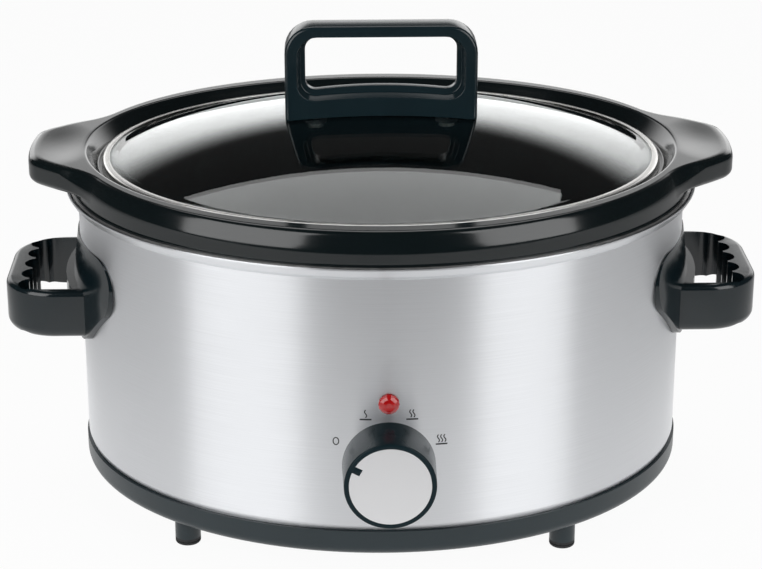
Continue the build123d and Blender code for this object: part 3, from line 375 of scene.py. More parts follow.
def oval_grid(half_x, half_y, level, count=AROUND):
    """Grid of ovals about the body's axis: one oval for each half length, half depth and level."""
    angle = turn_angles(count)[:, None]
    half_x, half_y, level = (np.asarray(part)[None, :] for part in (half_x, half_y, level))
    radius = oval_radius(angle, np.maximum(half_x, 1e-9), np.maximum(half_y, 1e-9))
    return np.stack([radius * np.cos(angle), radius * np.sin(angle) + body_depth(),
                     np.broadcast_to(level, radius.shape)], axis=-1)


def offset_grid(half, profile, count=AROUND):
    """Grid of one oval grown by each offset of a profile (offset, level)."""
    return oval_grid(half[0] + profile[:, 0], half[1] + profile[:, 0], profile[:, 1], count)


def lathe_grid(profile, centre, count=96):
    """Grid turned round an axis along the depth: a profile (radius, depth) carried round a centre
    (x, level)."""
    angle = turn_angles(count)[:, None]
    radius, depth = profile[None, :, 0], profile[None, :, 1]
    return np.stack([centre[0] + radius * np.cos(angle), np.broadcast_to(depth, (count, len(profile))),
                     centre[1] + radius * np.sin(angle)], axis=-1)


def settle(piece, body, slot_name, *nodes):
    """The piece rides on a body and stands for the nodes. The slot name is not used."""
    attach(piece, body)
    if nodes:
        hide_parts(*nodes)


def smoothed_copy(node, finish, sharp=30.0):
    """Copy of a node's mesh with its triangles joined, smooth but for edges that turn more than an angle."""
    mesh = frame["nodes"][node].data.copy()
    mesh.name = node + "_skin"
    form = bmesh.new()
    form.from_mesh(mesh)
    bmesh.ops.remove_doubles(form, verts=form.verts, dist=0.002 * MM)
    form.normal_update()
    form.to_mesh(mesh)
    form.free()
    if "custom_normal" in mesh.attributes:
        mesh.attributes.remove(mesh.attributes["custom_normal"])
    mesh.polygons.foreach_set("use_smooth", np.full(len(mesh.polygons), True))
    mesh.set_sharp_from_angle(angle=float(np.radians(sharp)))
    mesh.materials.clear()
    mesh.materials.append(finish)
    piece = bpy.data.objects.new(node + "_skin", mesh)
    bpy.context.scene.collection.objects.link(piece)
    return piece


# Finishes

class Wiring:
    """Node tree with short calls that add nodes and link them."""

    def __init__(self, tree):
        self.tree = tree

    def add(self, kind, **choices):
        """New node with its choices set."""
        node = self.tree.nodes.new("ShaderNode" + kind)
        for name, choice in choices.items():
            setattr(node, name, choice)
        return node

    def feed(self, socket, source):
        """Links another node's socket to this one, or sets it to a plain value."""
        if isinstance(source, bpy.types.NodeSocket):
            self.tree.links.new(source, socket)
        else:
            socket.default_value = source

    def math(self, operation, *sources):
        """Result of one step of arithmetic."""
        node = self.add("Math", operation=operation)
        for socket, source in zip(node.inputs, sources):
            self.feed(socket, source)
        return node.outputs["Value"]

    def spread(self, source, start, end, low, high, **choices):
        """Value that runs from low to high while the source runs from start to end."""
        node = self.add("MapRange", **choices)
        values = {"Value": source, "From Min": start, "From Max": end, "To Min": low, "To Max": high}
        for name, value in values.items():
            self.feed(node.inputs[name], value)
        return node.outputs["Result"]


class Finish(Wiring):
    """One material: a principled shader with short calls for the patterns that feed it."""

    def __init__(self, name):
        self.material = bpy.data.materials.new(name)
        self.material.use_nodes = True
        super().__init__(self.material.node_tree)
        self.shader = self.tree.nodes["Principled BSDF"]

    def set(self, **values):
        """Sets constant sockets of the shader, with underscores for spaces."""
        for name, value in values.items():
            self.shader.inputs[name.replace("_", " ")].default_value = value
        return self

    def mapped(self, space, **values):
        """Coordinates of the piece, shifted or scaled."""
        mapping = self.add("Mapping")
        for name, value in values.items():
            mapping.inputs[name].default_value = value
        self.feed(mapping.inputs["Vector"], self.add("TexCoord").outputs[space])
        return mapping.outputs["Vector"]

    def noise(self, size, stretch=(1, 1, 1), detail=3.0, space="Object"):
        """Cloudy pattern whose features are about the size given, drawn out by the stretch."""
        pattern = self.add("TexNoise")
        pattern.inputs["Scale"].default_value = 1.0
        pattern.inputs["Detail"].default_value = detail
        place = self.mapped(space, Scale=[1 / (size * part) for part in stretch])
        self.feed(pattern.inputs["Vector"], place)
        return pattern.outputs["Fac"]

    def spun(self, centre, pitch):
        """Fine circles about an axis along the depth."""
        pattern = self.add("TexWave", wave_type='RINGS', rings_direction='Y')
        pattern.inputs["Scale"].default_value = np.pi / (10 * pitch)
        pattern.inputs["Distortion"].default_value = 1.5
        pattern.inputs["Detail"].default_value = 2.0
        self.feed(pattern.inputs["Vector"], self.mapped("Object", Location=[-part for part in centre]))
        return pattern.outputs["Fac"]

    def weave(self, pitch):
        """Crossed threads: the higher of two sets of bands at right angles."""
        place = self.add("TexCoord").outputs["Object"]
        bands = [self.add("TexWave", bands_direction=direction) for direction in ('X', 'Z')]
        for band in bands:
            band.inputs["Scale"].default_value = np.pi / (10 * pitch)
            self.feed(band.inputs["Vector"], place)
        return self.math('MAXIMUM', *(band.outputs["Fac"] for band in bands))

    def tint(self, factor, dark, light, shade):
        """Base colour that runs between a darker and a lighter shade of one colour."""
        mix = self.add("Mix", data_type='RGBA')
        mix.inputs["A"].default_value = [part * dark for part in shade] + [1.0]
        mix.inputs["B"].default_value = [min(part * light, 1.0) for part in shade] + [1.0]
        self.feed(mix.inputs["Factor"], factor)
        self.feed(self.shader.inputs["Base Color"], mix.outputs["Result"])
        return self

    def gloss(self, factor, low, high):
        """Roughness that runs between two values over the middle of a pattern."""
        self.feed(self.shader.inputs["Roughness"], self.spread(factor, 0.3, 0.7, low, high))
        return self

    def relief(self, factor, depth, strength=1.0):
        """Small ups and downs of a pattern, as deep as given."""
        bump = self.add("Bump")
        bump.inputs["Distance"].default_value = depth
        bump.inputs["Strength"].default_value = strength
        self.feed(bump.inputs["Height"], factor)
        self.feed(self.shader.inputs["Normal"], bump.outputs["Normal"])
        return self


def brushed_wrap(name):
    """Steel brushed around the body: long fine lines, and gloss drawn out across them."""
    finish = Finish(name).set(Metallic=1.0, Anisotropic=0.94, Anisotropic_Rotation=0.25)
    lines = finish.noise(0.35 * MM, (160, 1, 1), 4.0, "UV")
    finish.tint(lines, 0.90, 1.08, colours().steel).gloss(lines, 0.29, 0.36)
    finish.relief(lines, 0.012 * MM, 0.35)
    tangent = finish.add("Tangent", direction_type='UV_MAP', uv_map="Surface")
    finish.feed(finish.shader.inputs["Tangent"], tangent.outputs["Tangent"])
    return finish


def black_glaze(name):
    """Black glaze: glossy, with a slow ripple from firing and faint specks."""
    finish = Finish(name).set(IOR=1.5, Coat_Weight=0.25, Coat_Roughness=0.10)
    ripple = finish.noise(22 * MM, detail=1.0)
    specks = finish.noise(1.2 * MM, detail=4.0)
    finish.tint(specks, 0.7, 1.4, colours().glaze).gloss(ripple, 0.12, 0.17)
    return finish.relief(ripple, 0.05 * MM, 0.5)


def moulded_plastic(name, low, high, depth, shine, tone):
    """Black moulded plastic with a fine grain, as deep as given in millimetres. The shine sets how much it
    mirrors, and the tone how light its colour is."""
    finish = Finish(name).set(IOR=1.5, Specular_IOR_Level=shine)
    grain = finish.noise(0.45 * MM, detail=3.0)
    cloud = finish.noise(35 * MM, detail=2.0)
    finish.tint(cloud, 0.85 * tone, 1.2 * tone, colours().plastic).gloss(grain, low, high)
    return finish.relief(grain, depth * MM, 0.5)


def foot_rubber(name):
    """Matt rubber with a dusty bloom."""
    finish = Finish(name)
    bloom = finish.noise(2.5 * MM, detail=4.0)
    return finish.tint(bloom, 0.7, 1.6, colours().rubber).gloss(bloom, 0.6, 0.8).relief(bloom, 0.03 * MM, 0.6)


def clear_glass(name):
    """Clear glass with a very slow ripple."""
    finish = Finish(name).set(Transmission_Weight=1.0, IOR=1.5)
    ripple = finish.noise(60 * MM, detail=0.0)
    return finish.tint(ripple, 0.97, 1.03, colours().glass).gloss(ripple, 0.0, 0.012)


def polished_ring(name):
    """Polished steel with faint drawing lines along it."""
    finish = Finish(name).set(Metallic=1.0)
    lines = finish.noise(0.5 * MM, (60, 1, 1), 2.0, "UV")
    return finish.tint(lines, 0.93, 1.05, colours().polished).gloss(lines, 0.22, 0.30)


def spun_plate(name):
    """Metal plate with fine turned circles."""
    centre = node_middle("knob_disc")
    finish = Finish(name).set(Metallic=1.0)
    circles = finish.spun(centre, 0.35 * MM)
    finish.tint(circles, 0.92, 1.06, colours().plate).gloss(circles, 0.30, 0.40)
    return finish.relief(circles, 0.004 * MM, 0.4)


def red_lens(name):
    """Clear red plastic that lets some light through."""
    finish = Finish(name).set(IOR=1.49, Transmission_Weight=0.35, Coat_Weight=0.5, Coat_Roughness=0.03)
    cloud = finish.noise(2.0 * MM, detail=2.0)
    return finish.tint(cloud, 0.75, 1.3, colours().lens).gloss(cloud, 0.04, 0.10)


def mottled(name, shade, metallic, low, high, size, depth):
    """Plain finish with a mottled colour, uneven gloss and a small relief. Size and depth are millimetres."""
    finish = Finish(name).set(Metallic=metallic)
    cloud = finish.noise(size * MM, detail=4.0)
    return finish.tint(cloud, 0.82, 1.14, shade).gloss(cloud, low, high).relief(cloud, depth * MM, 0.5)


def belt_weave(name):
    """Woven glass-fibre belt."""
    finish = Finish(name)
    threads = finish.weave(0.8 * MM)
    return finish.tint(threads, 0.7, 1.1, colours().belt).gloss(threads, 0.9, 0.75).relief(threads, 0.2 * MM)


def finish_for(kind):
    """Material of one of the record's slots, or of a piece with a finish of its own. It is made the first
    time that it is asked for."""
    shade = colours()
    # Roughness from and to, relief, shine and tone
    plastics = {
        "black_plastic": (0.30, 0.42, 0.02, 0.5, 1.0),
        "gloss_plastic": (0.16, 0.24, 0.005, 0.5, 1.0),
        "handle_plastic": (0.13, 0.19, 0.005, 0.6, 0.6),
        "knob_plastic": (0.18, 0.26, 0.005, 0.1, 1.0),
    }
    # Colour, share of metal, roughness from and to, size of the mottling and relief
    plain = {
        "pan_metal": (shade.sheet_metal, 1.0, 0.34, 0.48, 6, 0.02),
        "plated_steel": (shade.plated, 1.0, 0.28, 0.42, 2, 0.01),
        "soft_washer": (shade.washer, 0.0, 0.55, 0.7, 1.5, 0.02),
        "switch_plastic": (shade.moulding, 0.0, 0.4, 0.55, 3, 0.02),
        "brass": (shade.brass, 1.0, 0.22, 0.36, 1.5, 0.01),
        "heat_ink": (shade.ink, 0.0, 0.45, 0.6, 0.6, 0.005),
    }
    makers = {"wrap_steel": brushed_wrap, "foot_rubber": foot_rubber, "black_glaze": black_glaze,
              "clear_glass": clear_glass, "polished_steel": polished_ring, "knob_plate": spun_plate,
              "red_lens": red_lens, "heater_belt": belt_weave}
    name = "cooker_" + kind
    if name in bpy.data.materials:
        return bpy.data.materials[name]
    if kind in plastics:
        return moulded_plastic(name, *plastics[kind]).material
    if kind in plain:
        return mottled(name, *plain[kind]).material
    return makers[kind](name).material


# Pieces

def make_wrap():
    """Steel wrap: its folded section carried round the body's oval, with more reach at the ends."""
    size = sizes()
    bottom, top = node_low("steel_wrap")[2], node_high("steel_wrap")[2]
    lip = top - size.lip_height
    flare = lip - size.flare_height
    knee = flare + size.flare_height * size.knee_level
    outer = np.array([(-size.hem_inset, bottom), (0, bottom + size.hem_height), (0, flare),
                      (size.flare_reach * size.knee_reach, knee), (size.flare_reach, lip),
                      (size.flare_reach, top)])
    inner = outer[::-1] - (size.sheet, 0)
    rounds = np.array([0.2, 0.3, 0.3, 0.8, 0.3, 0.2]) * MM
    section = soften(np.concatenate([outer, inner]), np.concatenate([rounds, rounds[::-1]]))
    half_x, half_y = body_half()
    end_reach = section[:, 0] * (1 + size.lip_ends / size.flare_reach)
    grid = oval_grid(half_x + end_reach, half_y + section[:, 0], section[:, 1])
    wrap = skin("wrap_skin", [patch(grid, closed=True)], finish_for("wrap_steel"))
    settle(wrap, "base", "wrap_steel", "steel_wrap")


def wrap_front_depth(x):
    """Depth of the wrap's front at a distance from the middle."""
    half_x, half_y = body_half()
    return body_depth() - half_y * np.sqrt(1 - (x / half_x) ** 2)


def printed_line(path, stroke, closed=False):
    """Patch of one printed line: a flat section carried along a path (x, level) on the front of the wrap."""
    proud = 0.06 * MM  # how far the ink stands out and reaches in
    ahead = np.roll(path, -1, axis=0) - np.roll(path, 1, axis=0) if closed else np.gradient(path, axis=0)
    across = np.stack([-ahead[:, 1], ahead[:, 0]], axis=1) / np.linalg.norm(ahead, axis=1)[:, None]
    half = stroke / 2
    side = np.array([-half, half, half, -half])[:, None]
    lift = np.array([-proud, -proud, proud, proud])[:, None]
    x = path[None, :, 0] + side * across[None, :, 0]
    level = path[None, :, 1] + side * across[None, :, 1]
    grid = np.stack([x, wrap_front_depth(x) - lift, level], axis=-1)
    if closed:
        return patch(grid, closed=True)
    ends = [np.broadcast_to(grid[:, [end]].mean(axis=0, keepdims=True), (4, 1, 3)) for end in (0, -1)]
    return patch(np.concatenate([ends[0], grid, ends[1]], axis=1), poles=(True, True))


def mark_place(turn):
    """Place (x, level) of a heat mark at a turn clockwise from straight above the knob."""
    return node_middle("knob")[[0, 2]] + sizes().mark_radius * unit(np.pi / 2 - turn)


def make_marks():
    """Heat marks printed round the knob: an oval nought, then one, two and three waves over a bar. A wave is
    one turn of a sine, run upwards from a little below the middle of its mark."""
    size = sizes()
    nought = unit(turn_angles(40)) * (size.nought_width / 2, size.nought_height / 2)
    patches = [printed_line(mark_place(-size.outer_mark) + nought, size.mark_stroke, closed=True)]
    rise = np.linspace(0, 1, 24)
    share_below = 0.28
    sway = size.wave_sway * np.sin(2 * np.pi * rise)
    wave = np.stack([sway, size.mark_height * (rise - share_below)], axis=1)
    bar = np.stack([size.bar_length * np.linspace(-0.5, 0.5, 6), np.full(6, -size.bar_drop)], axis=1)
    for waves, turn in enumerate((-size.inner_mark, size.inner_mark, size.outer_mark), start=1):
        place = mark_place(turn)
        for number in range(waves):
            shift = (number - (waves - 1) / 2) * size.wave_pitch
            patches.append(printed_line(place + wave + (shift, 0), size.mark_stroke))
        patches.append(printed_line(place + bar, size.bar_stroke))
    marks = skin("heat_marks", patches, finish_for("heat_ink"), smooth=False)
    settle(marks, "base", "black_plastic")


def pot_profile(offset, corner, floor, top):
    """Half section of a drafted pot (offset, level): up from its rounded lower corner to its top."""
    angle = np.linspace(np.pi / 2, 0, 14)
    inset = sizes().pot_draft + corner * (1 - np.cos(angle))
    rounded = np.stack([offset - inset, floor + corner * (1 - np.sin(angle))], axis=1)
    wall = np.linspace(rounded[-1], (offset, top), 6)[1:]
    return np.concatenate([rounded, wall])


def make_pan():
    """Heating pan: a thin pot with a flat flange, as one section from its underside to its floor."""
    size = sizes()
    bottom, top = node_low("heating_pan")[2], node_high("heating_pan")[2]
    sheet = size.pan_sheet
    offset = size.pot_wall - size.seat_width + size.pan_clearance
    corner = size.pot_corner + size.pan_clearance
    outside = pot_profile(offset + sheet, corner, bottom, top - sheet)
    inside = pot_profile(offset, corner - sheet, bottom + sheet, top)[::-1]
    spans = []
    for half, flange in zip(lid_half(), node_half("heating_pan")):
        under, over = half + outside[:, 0], half + inside[:, 0]
        spans.append(np.concatenate([under[0] * FLOOR_SHARES, under, [flange] * 2, over,
                                     over[-1] * FLOOR_SHARES[::-1]]))
    level = np.concatenate([0 * FLOOR_SHARES + bottom, outside[:, 1], [top - sheet, top], inside[:, 1],
                            0 * FLOOR_SHARES + bottom + sheet])
    grid = oval_grid(*spans, level, 192)
    pan = skin("pan_skin", [patch(grid, poles=(True, True))], finish_for("pan_metal"))
    settle(pan, "base", "pan_metal", "heating_pan")


def arc(centre, radius, start, end, count=60):
    """Points on a circle between two angles."""
    return np.array(centre) + radius * unit(np.linspace(start, end, count))


def heading(vector):
    """Angle of a flat vector."""
    return np.arctan2(vector[1], vector[0])


def ear_plan():
    """Quarter of the rim's plan from the tip of the ear to the middle of the front, as points (x, y): the
    bowed tip, its round, the straight side, the hollow round at the root, and the rim's oval. A round's
    centre is found where the two lines that stand off by its radius cross."""
    size = sizes()
    half = rim_half()
    tip_x = node_half("crock")[0]
    tip = np.array([tip_x - size.ear_bow, size.ear_width / 2])
    root = half * unit(size.ear_root)
    side = (root - tip) / np.linalg.norm(root - tip)
    outward = np.array([side[1], -side[0]])
    bow_radius = (tip[1] ** 2 + size.ear_bow ** 2) / (2 * size.ear_bow)
    bow_centre = np.array([tip_x - bow_radius, 0])
    along = np.linspace(0, size.ear_tip_round, 200)[:, None]
    centres = tip + along * side - outward * size.ear_tip_round
    miss = np.linalg.norm(centres - bow_centre, axis=1) - (bow_radius - size.ear_tip_round)
    place = np.interp(0, -miss, along[:, 0])
    tip_centre = tip + place * side - outward * size.ear_tip_round
    turn = np.linspace(size.ear_root, heading(outward * half), 200)
    oval = half * unit(turn)
    normal = unit(turn) / half
    normal /= np.linalg.norm(normal, axis=1)[:, None]
    stand_off = (oval + size.ear_root_round * normal - root) @ outward - size.ear_root_round
    leave = np.interp(0, stand_off, turn)
    touch = half * unit(leave)
    away = touch / half ** 2
    root_centre = touch + size.ear_root_round * away / np.linalg.norm(away)
    bow_end = heading(tip_centre - bow_centre)
    return np.concatenate([
        arc(bow_centre, bow_radius, 0, bow_end),
        arc(tip_centre, size.ear_tip_round, bow_end, heading(outward)),
        arc(root_centre, size.ear_root_round, heading(-outward) % (2 * np.pi), heading(-away) % (2 * np.pi)),
        half * unit(np.linspace(leave, np.pi / 2, 80))])


def rim_half():
    """Half length and half depth of the crock's rim without its ears."""
    return np.array([body_half()[0] + sizes().rim_ends, node_half("crock")[1] + sizes().rim_swell])


def rim_reach(angle):
    """Distance from the middle to the rim's plan along an angle, the same in each quarter."""
    plan = ear_plan()
    return np.interp(np.arctan2(abs(np.sin(angle)), abs(np.cos(angle))),
                     np.arctan2(plan[:, 1], plan[:, 0]), np.linalg.norm(plan, axis=1))


def rim_height_at(radius, angle):
    """Height of the rim's top: a shallow saddle that climbs with the square of the distance along the cooker,
    less a soft hollow in each ear, whose depth goes with the square of one less the squared oval distance."""
    size = sizes()
    x, y = radius * np.cos(angle), radius * np.sin(angle)
    tip = node_half("crock")[0]
    saddle = rim_level() + size.ear_rise * (x / tip) ** 2
    along = (abs(x) - tip + size.dish_reach) / (size.dish_length / 2)
    across = y / (size.dish_width / 2)
    return saddle - size.dish_depth * np.maximum(1 - along ** 2 - across ** 2, 0) ** 2


def crock_outside(angle):
    """Underside of the crock from its pole, its wall, and the rounded lower edge of the rim: distances from
    the middle, and levels."""
    size = sizes()
    foot_round, foot_height = 0.6 * MM, 3.0 * MM
    bottom, rim_bottom = node_low("crock")[2], rim_level() - size.rim_height
    wall = pot_profile(size.pot_wall - size.seat_width, size.pot_corner, bottom, rim_bottom)
    wall_radius = grown_ovals(angle, lid_half(), wall[:, 0])
    foot = np.array([(-1, 0), (-0.25, 0.25), (0, 1), (0, foot_height / foot_round)]) * foot_round
    radius = np.concatenate([wall_radius[:, :1] * FLOOR_SHARES, wall_radius,
                             grown_ovals(angle, rim_half(), foot[:, 0])], axis=1)
    level = np.concatenate([0 * FLOOR_SHARES + bottom, wall[:, 1], rim_bottom + foot[:, 1]])
    return radius, np.broadcast_to(level, radius.shape)


def edge_section(foot, roll, leaning, rounds):
    """Face and roll (offset, level under the crest): up from the foot, over corners that lean in by shares of
    the roll's height, and in to the top."""
    size = sizes()
    corners = [(0, foot - size.ear_thickness), (0, -roll), *leaning, (-size.rim_round, 0)]
    return soften(corners, rounds, closed=False)


def crock_edge(angle, ear):
    """Edge of the rim and of the ear: out along the ear's underside, round its lower edge by a quarter turn,
    and over the roll, which passes from the rim's section to the ear's as the ear reaches out."""
    size = sizes()
    shelf_drop = 1.2 * MM
    rim_radius = grown_ovals(angle, rim_half(), [0])
    reach = rim_radius + ear
    is_ear = np.clip(ear / size.ear_blend, 0, 1)
    ear_bottom = rim_level() - size.ear_thickness
    under_round = np.minimum(size.ear_under_round, ear)
    under_height = size.ear_under_round * (0.25 + 0.75 * is_ear)
    shelf = np.linspace(0, 1, 4)[None, :]
    shelf_radius = rim_radius + (ear - under_round) * shelf
    shelf_level = np.broadcast_to(ear_bottom - shelf_drop * (1 - shelf), shelf_radius.shape)
    turn = np.linspace(0, np.pi / 2, 8)[None, 1:]
    turn_radius = reach - under_round * (1 - np.sin(turn))
    turn_level = ear_bottom + under_height * (1 - np.cos(turn))
    rounds = np.array([0, 2.2, 1.2, 0.8, 0]) * MM
    roll, lean = size.rim_roll, size.rim_lean
    on_rim = edge_section(0.3 * size.ear_under_round, roll,
                          [(-lean, -0.2 * roll), (-1.5 * lean, -0.03 * roll)], rounds)
    roll = size.ear_roll
    on_ear = edge_section(1.1 * size.ear_under_round, roll,
                          [(-0.3 * roll, -0.3 * roll), (-roll, -0.03 * roll)], rounds / 2)
    section = on_rim + is_ear[..., None] * (on_ear - on_rim)
    crest = rim_height_at(reach - size.rim_round, angle)
    return (np.concatenate([shelf_radius, turn_radius, reach + section[..., 0]], axis=1),
            np.concatenate([shelf_level, turn_level, crest + section[..., 1]], axis=1))


def crock_top(angle, ear):
    """Top of the rim and of the ear, in to the lip over the seat, and the lip's round: a parabola from the
    top into the slope."""
    size = sizes()
    half, slope_rise = lid_half(), size.seat_depth + size.ear_rise
    lip = grown_ovals(angle, half, [size.lid_play + size.seat_flare])
    lip_rise = (rim_height_at(lip, angle) - seat_level()) / slope_rise
    lip_offset = size.lid_play + size.seat_flare * lip_rise
    lip = oval_radius(angle, half[0] + lip_offset, half[1] + lip_offset)
    lip_level = rim_height_at(lip, angle)
    start = grown_ovals(angle, rim_half(), [0]) + ear - size.rim_round
    across = np.linspace(0, 1, 16)[None, 1:]
    top_radius = start + (lip + size.seat_round - start) * across
    top_level = rim_height_at(top_radius, angle)
    slope = np.array([size.seat_flare / slope_rise, 1.0])
    slope *= size.seat_round / np.linalg.norm(slope)
    dip = np.linspace(0, 1, 6)[None, 1:]
    before, at, past = (1 - dip) ** 2, 2 * dip * (1 - dip), dip ** 2
    round_radius = before * top_radius[:, -1:] + at * lip + past * (lip - slope[0])
    round_level = before * top_level[:, -1:] + at * lip_level + past * (lip_level - slope[1])
    return (np.concatenate([top_radius, round_radius], axis=1),
            np.concatenate([top_level, round_level], axis=1))


def crock_inside(angle):
    """Slope, seat, inner wall and floor of the crock, in to the pole."""
    size = sizes()
    seat, slope_rise = seat_level(), size.seat_depth + size.ear_rise
    ledge = soften([(size.lid_play + size.seat_flare / 2, seat + slope_rise / 2), (size.lid_play, seat),
                    (-size.seat_width, seat), (-size.seat_width - size.pot_draft / 8, seat - slope_rise)],
                   size.seat_round, closed=False)
    floor = node_low("crock")[2] + size.pot_base
    inner = pot_profile(-size.seat_width, size.pot_corner, floor, seat)[::-1]
    wall = np.concatenate([ledge, inner[inner[:, 1] < seat - 1.5 * slope_rise]])
    wall_radius = grown_ovals(angle, lid_half(), wall[:, 0])
    radius = np.concatenate([wall_radius, wall_radius[:, -1:] * FLOOR_SHARES[::-1]], axis=1)
    level = np.concatenate([wall[:, 1], 0 * FLOOR_SHARES + wall[-1, 1]])
    return radius, np.broadcast_to(level, radius.shape)


def make_crock():
    """Glazed crock as one section for each angle, from under its base, out under the rim and the ear, over
    the rolled edge and the dished top, down the slope to the lid's seat and down the wall to its floor."""
    least_ear = 0.1 * MM
    angle = turn_angles(2 * AROUND)[:, None]
    ear = rim_reach(angle) - grown_ovals(angle, rim_half(), [0])
    ear = np.where(ear < least_ear, 0, ear)
    runs = [crock_outside(angle), crock_edge(angle, ear), crock_top(angle, ear), crock_inside(angle)]
    radius, level = (np.concatenate(part, axis=1) for part in zip(*runs))
    grid = np.stack([radius * np.cos(angle), radius * np.sin(angle) + body_depth(), level], axis=-1)
    crock = skin("crock_skin", [patch(grid, poles=(True, True))], finish_for("black_glaze"))
    settle(crock, "crock", "black_glaze", "crock")


def glass_half():
    """Half length and half depth of the domed part of the glass."""
    half = node_half("lid_glass")[:2]
    return half * (1 - sizes().glass_brim / half[0])


def brim_level():
    """Height of the top of the glass brim."""
    return node_low("lid_glass")[2] + sizes().glass


def dome_rise():
    """Height of the dome over its brim."""
    return node_high("lid_glass")[2] - brim_level()


def dome_height(share):
    """Height of the dome over its brim at a share of the way from its middle to its edge, on a circle through
    the edge and the top."""
    half, rise = glass_half()[0], dome_rise()
    radius = (half ** 2 + rise ** 2) / (2 * rise)
    return rise - radius + np.sqrt(radius ** 2 - (share * half) ** 2)


def make_lid_glass():
    """Domed glass: similar ovals from the top of the dome out over the brim and back underneath."""
    bend, edge_round = 1.5 * MM, 0.5 * MM
    half, full = glass_half(), node_half("lid_glass")[:2]
    share = np.linspace(0, 1, 40)
    top, bottom = brim_level(), node_low("lid_glass")[2]
    upper = np.stack([share * half[0], top + dome_height(share)], axis=1)
    lower = np.stack([share * half[0], bottom + dome_height(share)], axis=1)[::-1]
    brim = soften([(half[0] + bend, top), (full[0], top), (full[0], bottom), (half[0] + bend, bottom)],
                  edge_round, closed=False)
    section = np.concatenate([upper, brim, lower])
    grid = oval_grid(section[:, 0], section[:, 0] * full[1] / full[0], section[:, 1])
    glass = skin("glass_skin", [patch(grid, poles=(True, True))], finish_for("clear_glass"))
    settle(glass, "lid", "clear_glass", "lid_glass")


def make_lid_ring():
    """Steel ring: a folded channel carried round the lid's oval."""
    size = sizes()
    low, high = node_low("lid_ring")[2], node_high("lid_ring")[2]
    sheet, lip = size.ring_sheet, size.ring_lip
    corners = [(-lip, low), (0, low), (0, high), (-lip, high), (-lip, high - sheet), (-sheet, high - sheet),
               (-sheet, low + sheet), (-lip, low + sheet)]
    rounds = np.array([0.2, 0.4, 0, 0.3, 0.2, 0.2, 0.2, 0.2]) * MM
    rounds[2] = size.ring_round
    grid = offset_grid(lid_half(), soften(corners, rounds))
    ring = skin("ring_skin", [patch(grid, closed=True)], finish_for("polished_steel"))
    settle(ring, "lid", "polished_steel", "lid_ring")


def framed_box(half_width, low, high, low_round, high_round, arch=0.0):
    """Outline (x, level) of an upright box with rounded corners, in equal runs, from the middle of its lower
    edge round by the right: lower edge, corner, side, corner, upper edge and back. The lower edge sinks by
    the arch towards its ends, with the square of the distance."""
    run = np.linspace(0, 1, 10)[:, None]
    turn = np.linspace(0, np.pi / 2, 9)

    def corner(x, level, size, start):
        return (x, level) + size * unit(start + turn)

    lower = corner(half_width - low_round, low + low_round, low_round, -np.pi / 2)
    upper = corner(half_width - high_round, high - high_round, high_round, 0)
    bottom = (1 - run) * (0, low) + run * lower[0]
    side = (1 - run) * lower[-1] + run * upper[0]
    top = (1 - run) * upper[-1] + run * (0, high)
    half = np.concatenate([bottom[:-1], lower[:-1], side[:-1], upper[:-1], top])
    half[:, 1] -= arch * (half[:, 0] / half_width) ** 2 * (half[:, 1] < low + low_round * 1.001)
    return np.concatenate([half, (half * (-1, 1))[-2:0:-1]])


def make_lid_loop():
    """Lid's handle: nested upright outlines from the back of the window through its edge, out over the
    stepped recess and the front face, round the edges and over the back. Its foot stays on the dome."""
    size = sizes()
    half, middle = node_half("lid_loop"), node_middle("lid_loop")
    top, crown = node_high("lid_loop")[2], node_high("lid_glass")[2]
    window_half = half[0] - size.loop_side_bar
    window_low, window_high = crown + size.loop_foot_bar, top - size.loop_top_bar
    front, back, edge = -half[1], half[1], size.loop_edge
    sink, gap, foot_lift = 3 * MM, 0.1 * MM, 0.25 * MM
    glass = glass_half()

    def window(grow, depth):
        side, low, high = grow
        corner = size.window_corner + side
        outline = framed_box(window_half + side, window_low - low, window_high + high, corner, corner,
                             size.window_arch)
        return np.insert(outline, 1, depth, axis=1)

    def outside(shrink, depth, lift):
        high = top - shrink - size.loop_draft * max(back - edge - depth, 0)
        outline = framed_box(half[0] - shrink, crown - sink, high, edge, size.loop_corner - shrink)
        share = np.sqrt((outline[:, 0] / glass[0]) ** 2 + (depth / glass[1]) ** 2)
        dome = brim_level() + dome_height(share) + gap + lift
        on_foot = framed_box(half[0] - shrink, 0, 1, edge, edge)[:, 1] < edge
        outline[:, 1] = np.where(on_foot, dome, np.maximum(outline[:, 1], dome))
        return np.insert(outline, 1, depth, axis=1)

    recess = np.array([size.recess_side, size.recess_low, size.recess_top]) / size.recess_low
    web, slope, flat = front + size.recess_depth, 0.4 * MM, 1.0 * MM
    rounds = np.array([0, 0.4, 0.4, 0.4, 0.5, 0.4, 0]) * MM
    section = soften([(size.window_back + flat, back), (size.window_back, back), (0, web + size.window_web),
                      (0, web), (size.recess_step, web - slope), (size.recess_low, front),
                      (size.recess_low + flat, front)], rounds, closed=False)
    face_lines = np.array([(0.8, 0.9), (0.4, 0.5)]) * MM  # inset from the edge, and lift over the dome
    quarter = np.linspace(0, np.pi / 2, 6)
    columns = [window(grow * recess, depth) for grow, depth in section]
    columns += [outside(edge + inset, front, lift) for inset, lift in face_lines]
    for turns, depth, inward in ((quarter, front, edge), (quarter[::-1], back, -edge)):
        for turn in turns:
            away = 1 - np.sin(turn)
            columns.append(outside(edge * away, depth + inward * (1 - np.cos(turn)), foot_lift * away))
    columns += [outside(edge + inset, back, lift) for inset, lift in face_lines[::-1]]
    grid = np.stack(columns, axis=1) + (middle[0], middle[1], 0)
    loop = skin("loop_skin", [patch(grid, closed=True)], finish_for("gloss_plastic"))
    settle(loop, "lid", "black_plastic", "lid_loop")


def make_handles():
    """Side handles: the frame's own forms, joined and smoothed."""
    for node in ("right_handle", "left_handle"):
        settle(smoothed_copy(node, finish_for("handle_plastic")), "base", "black_plastic", node)


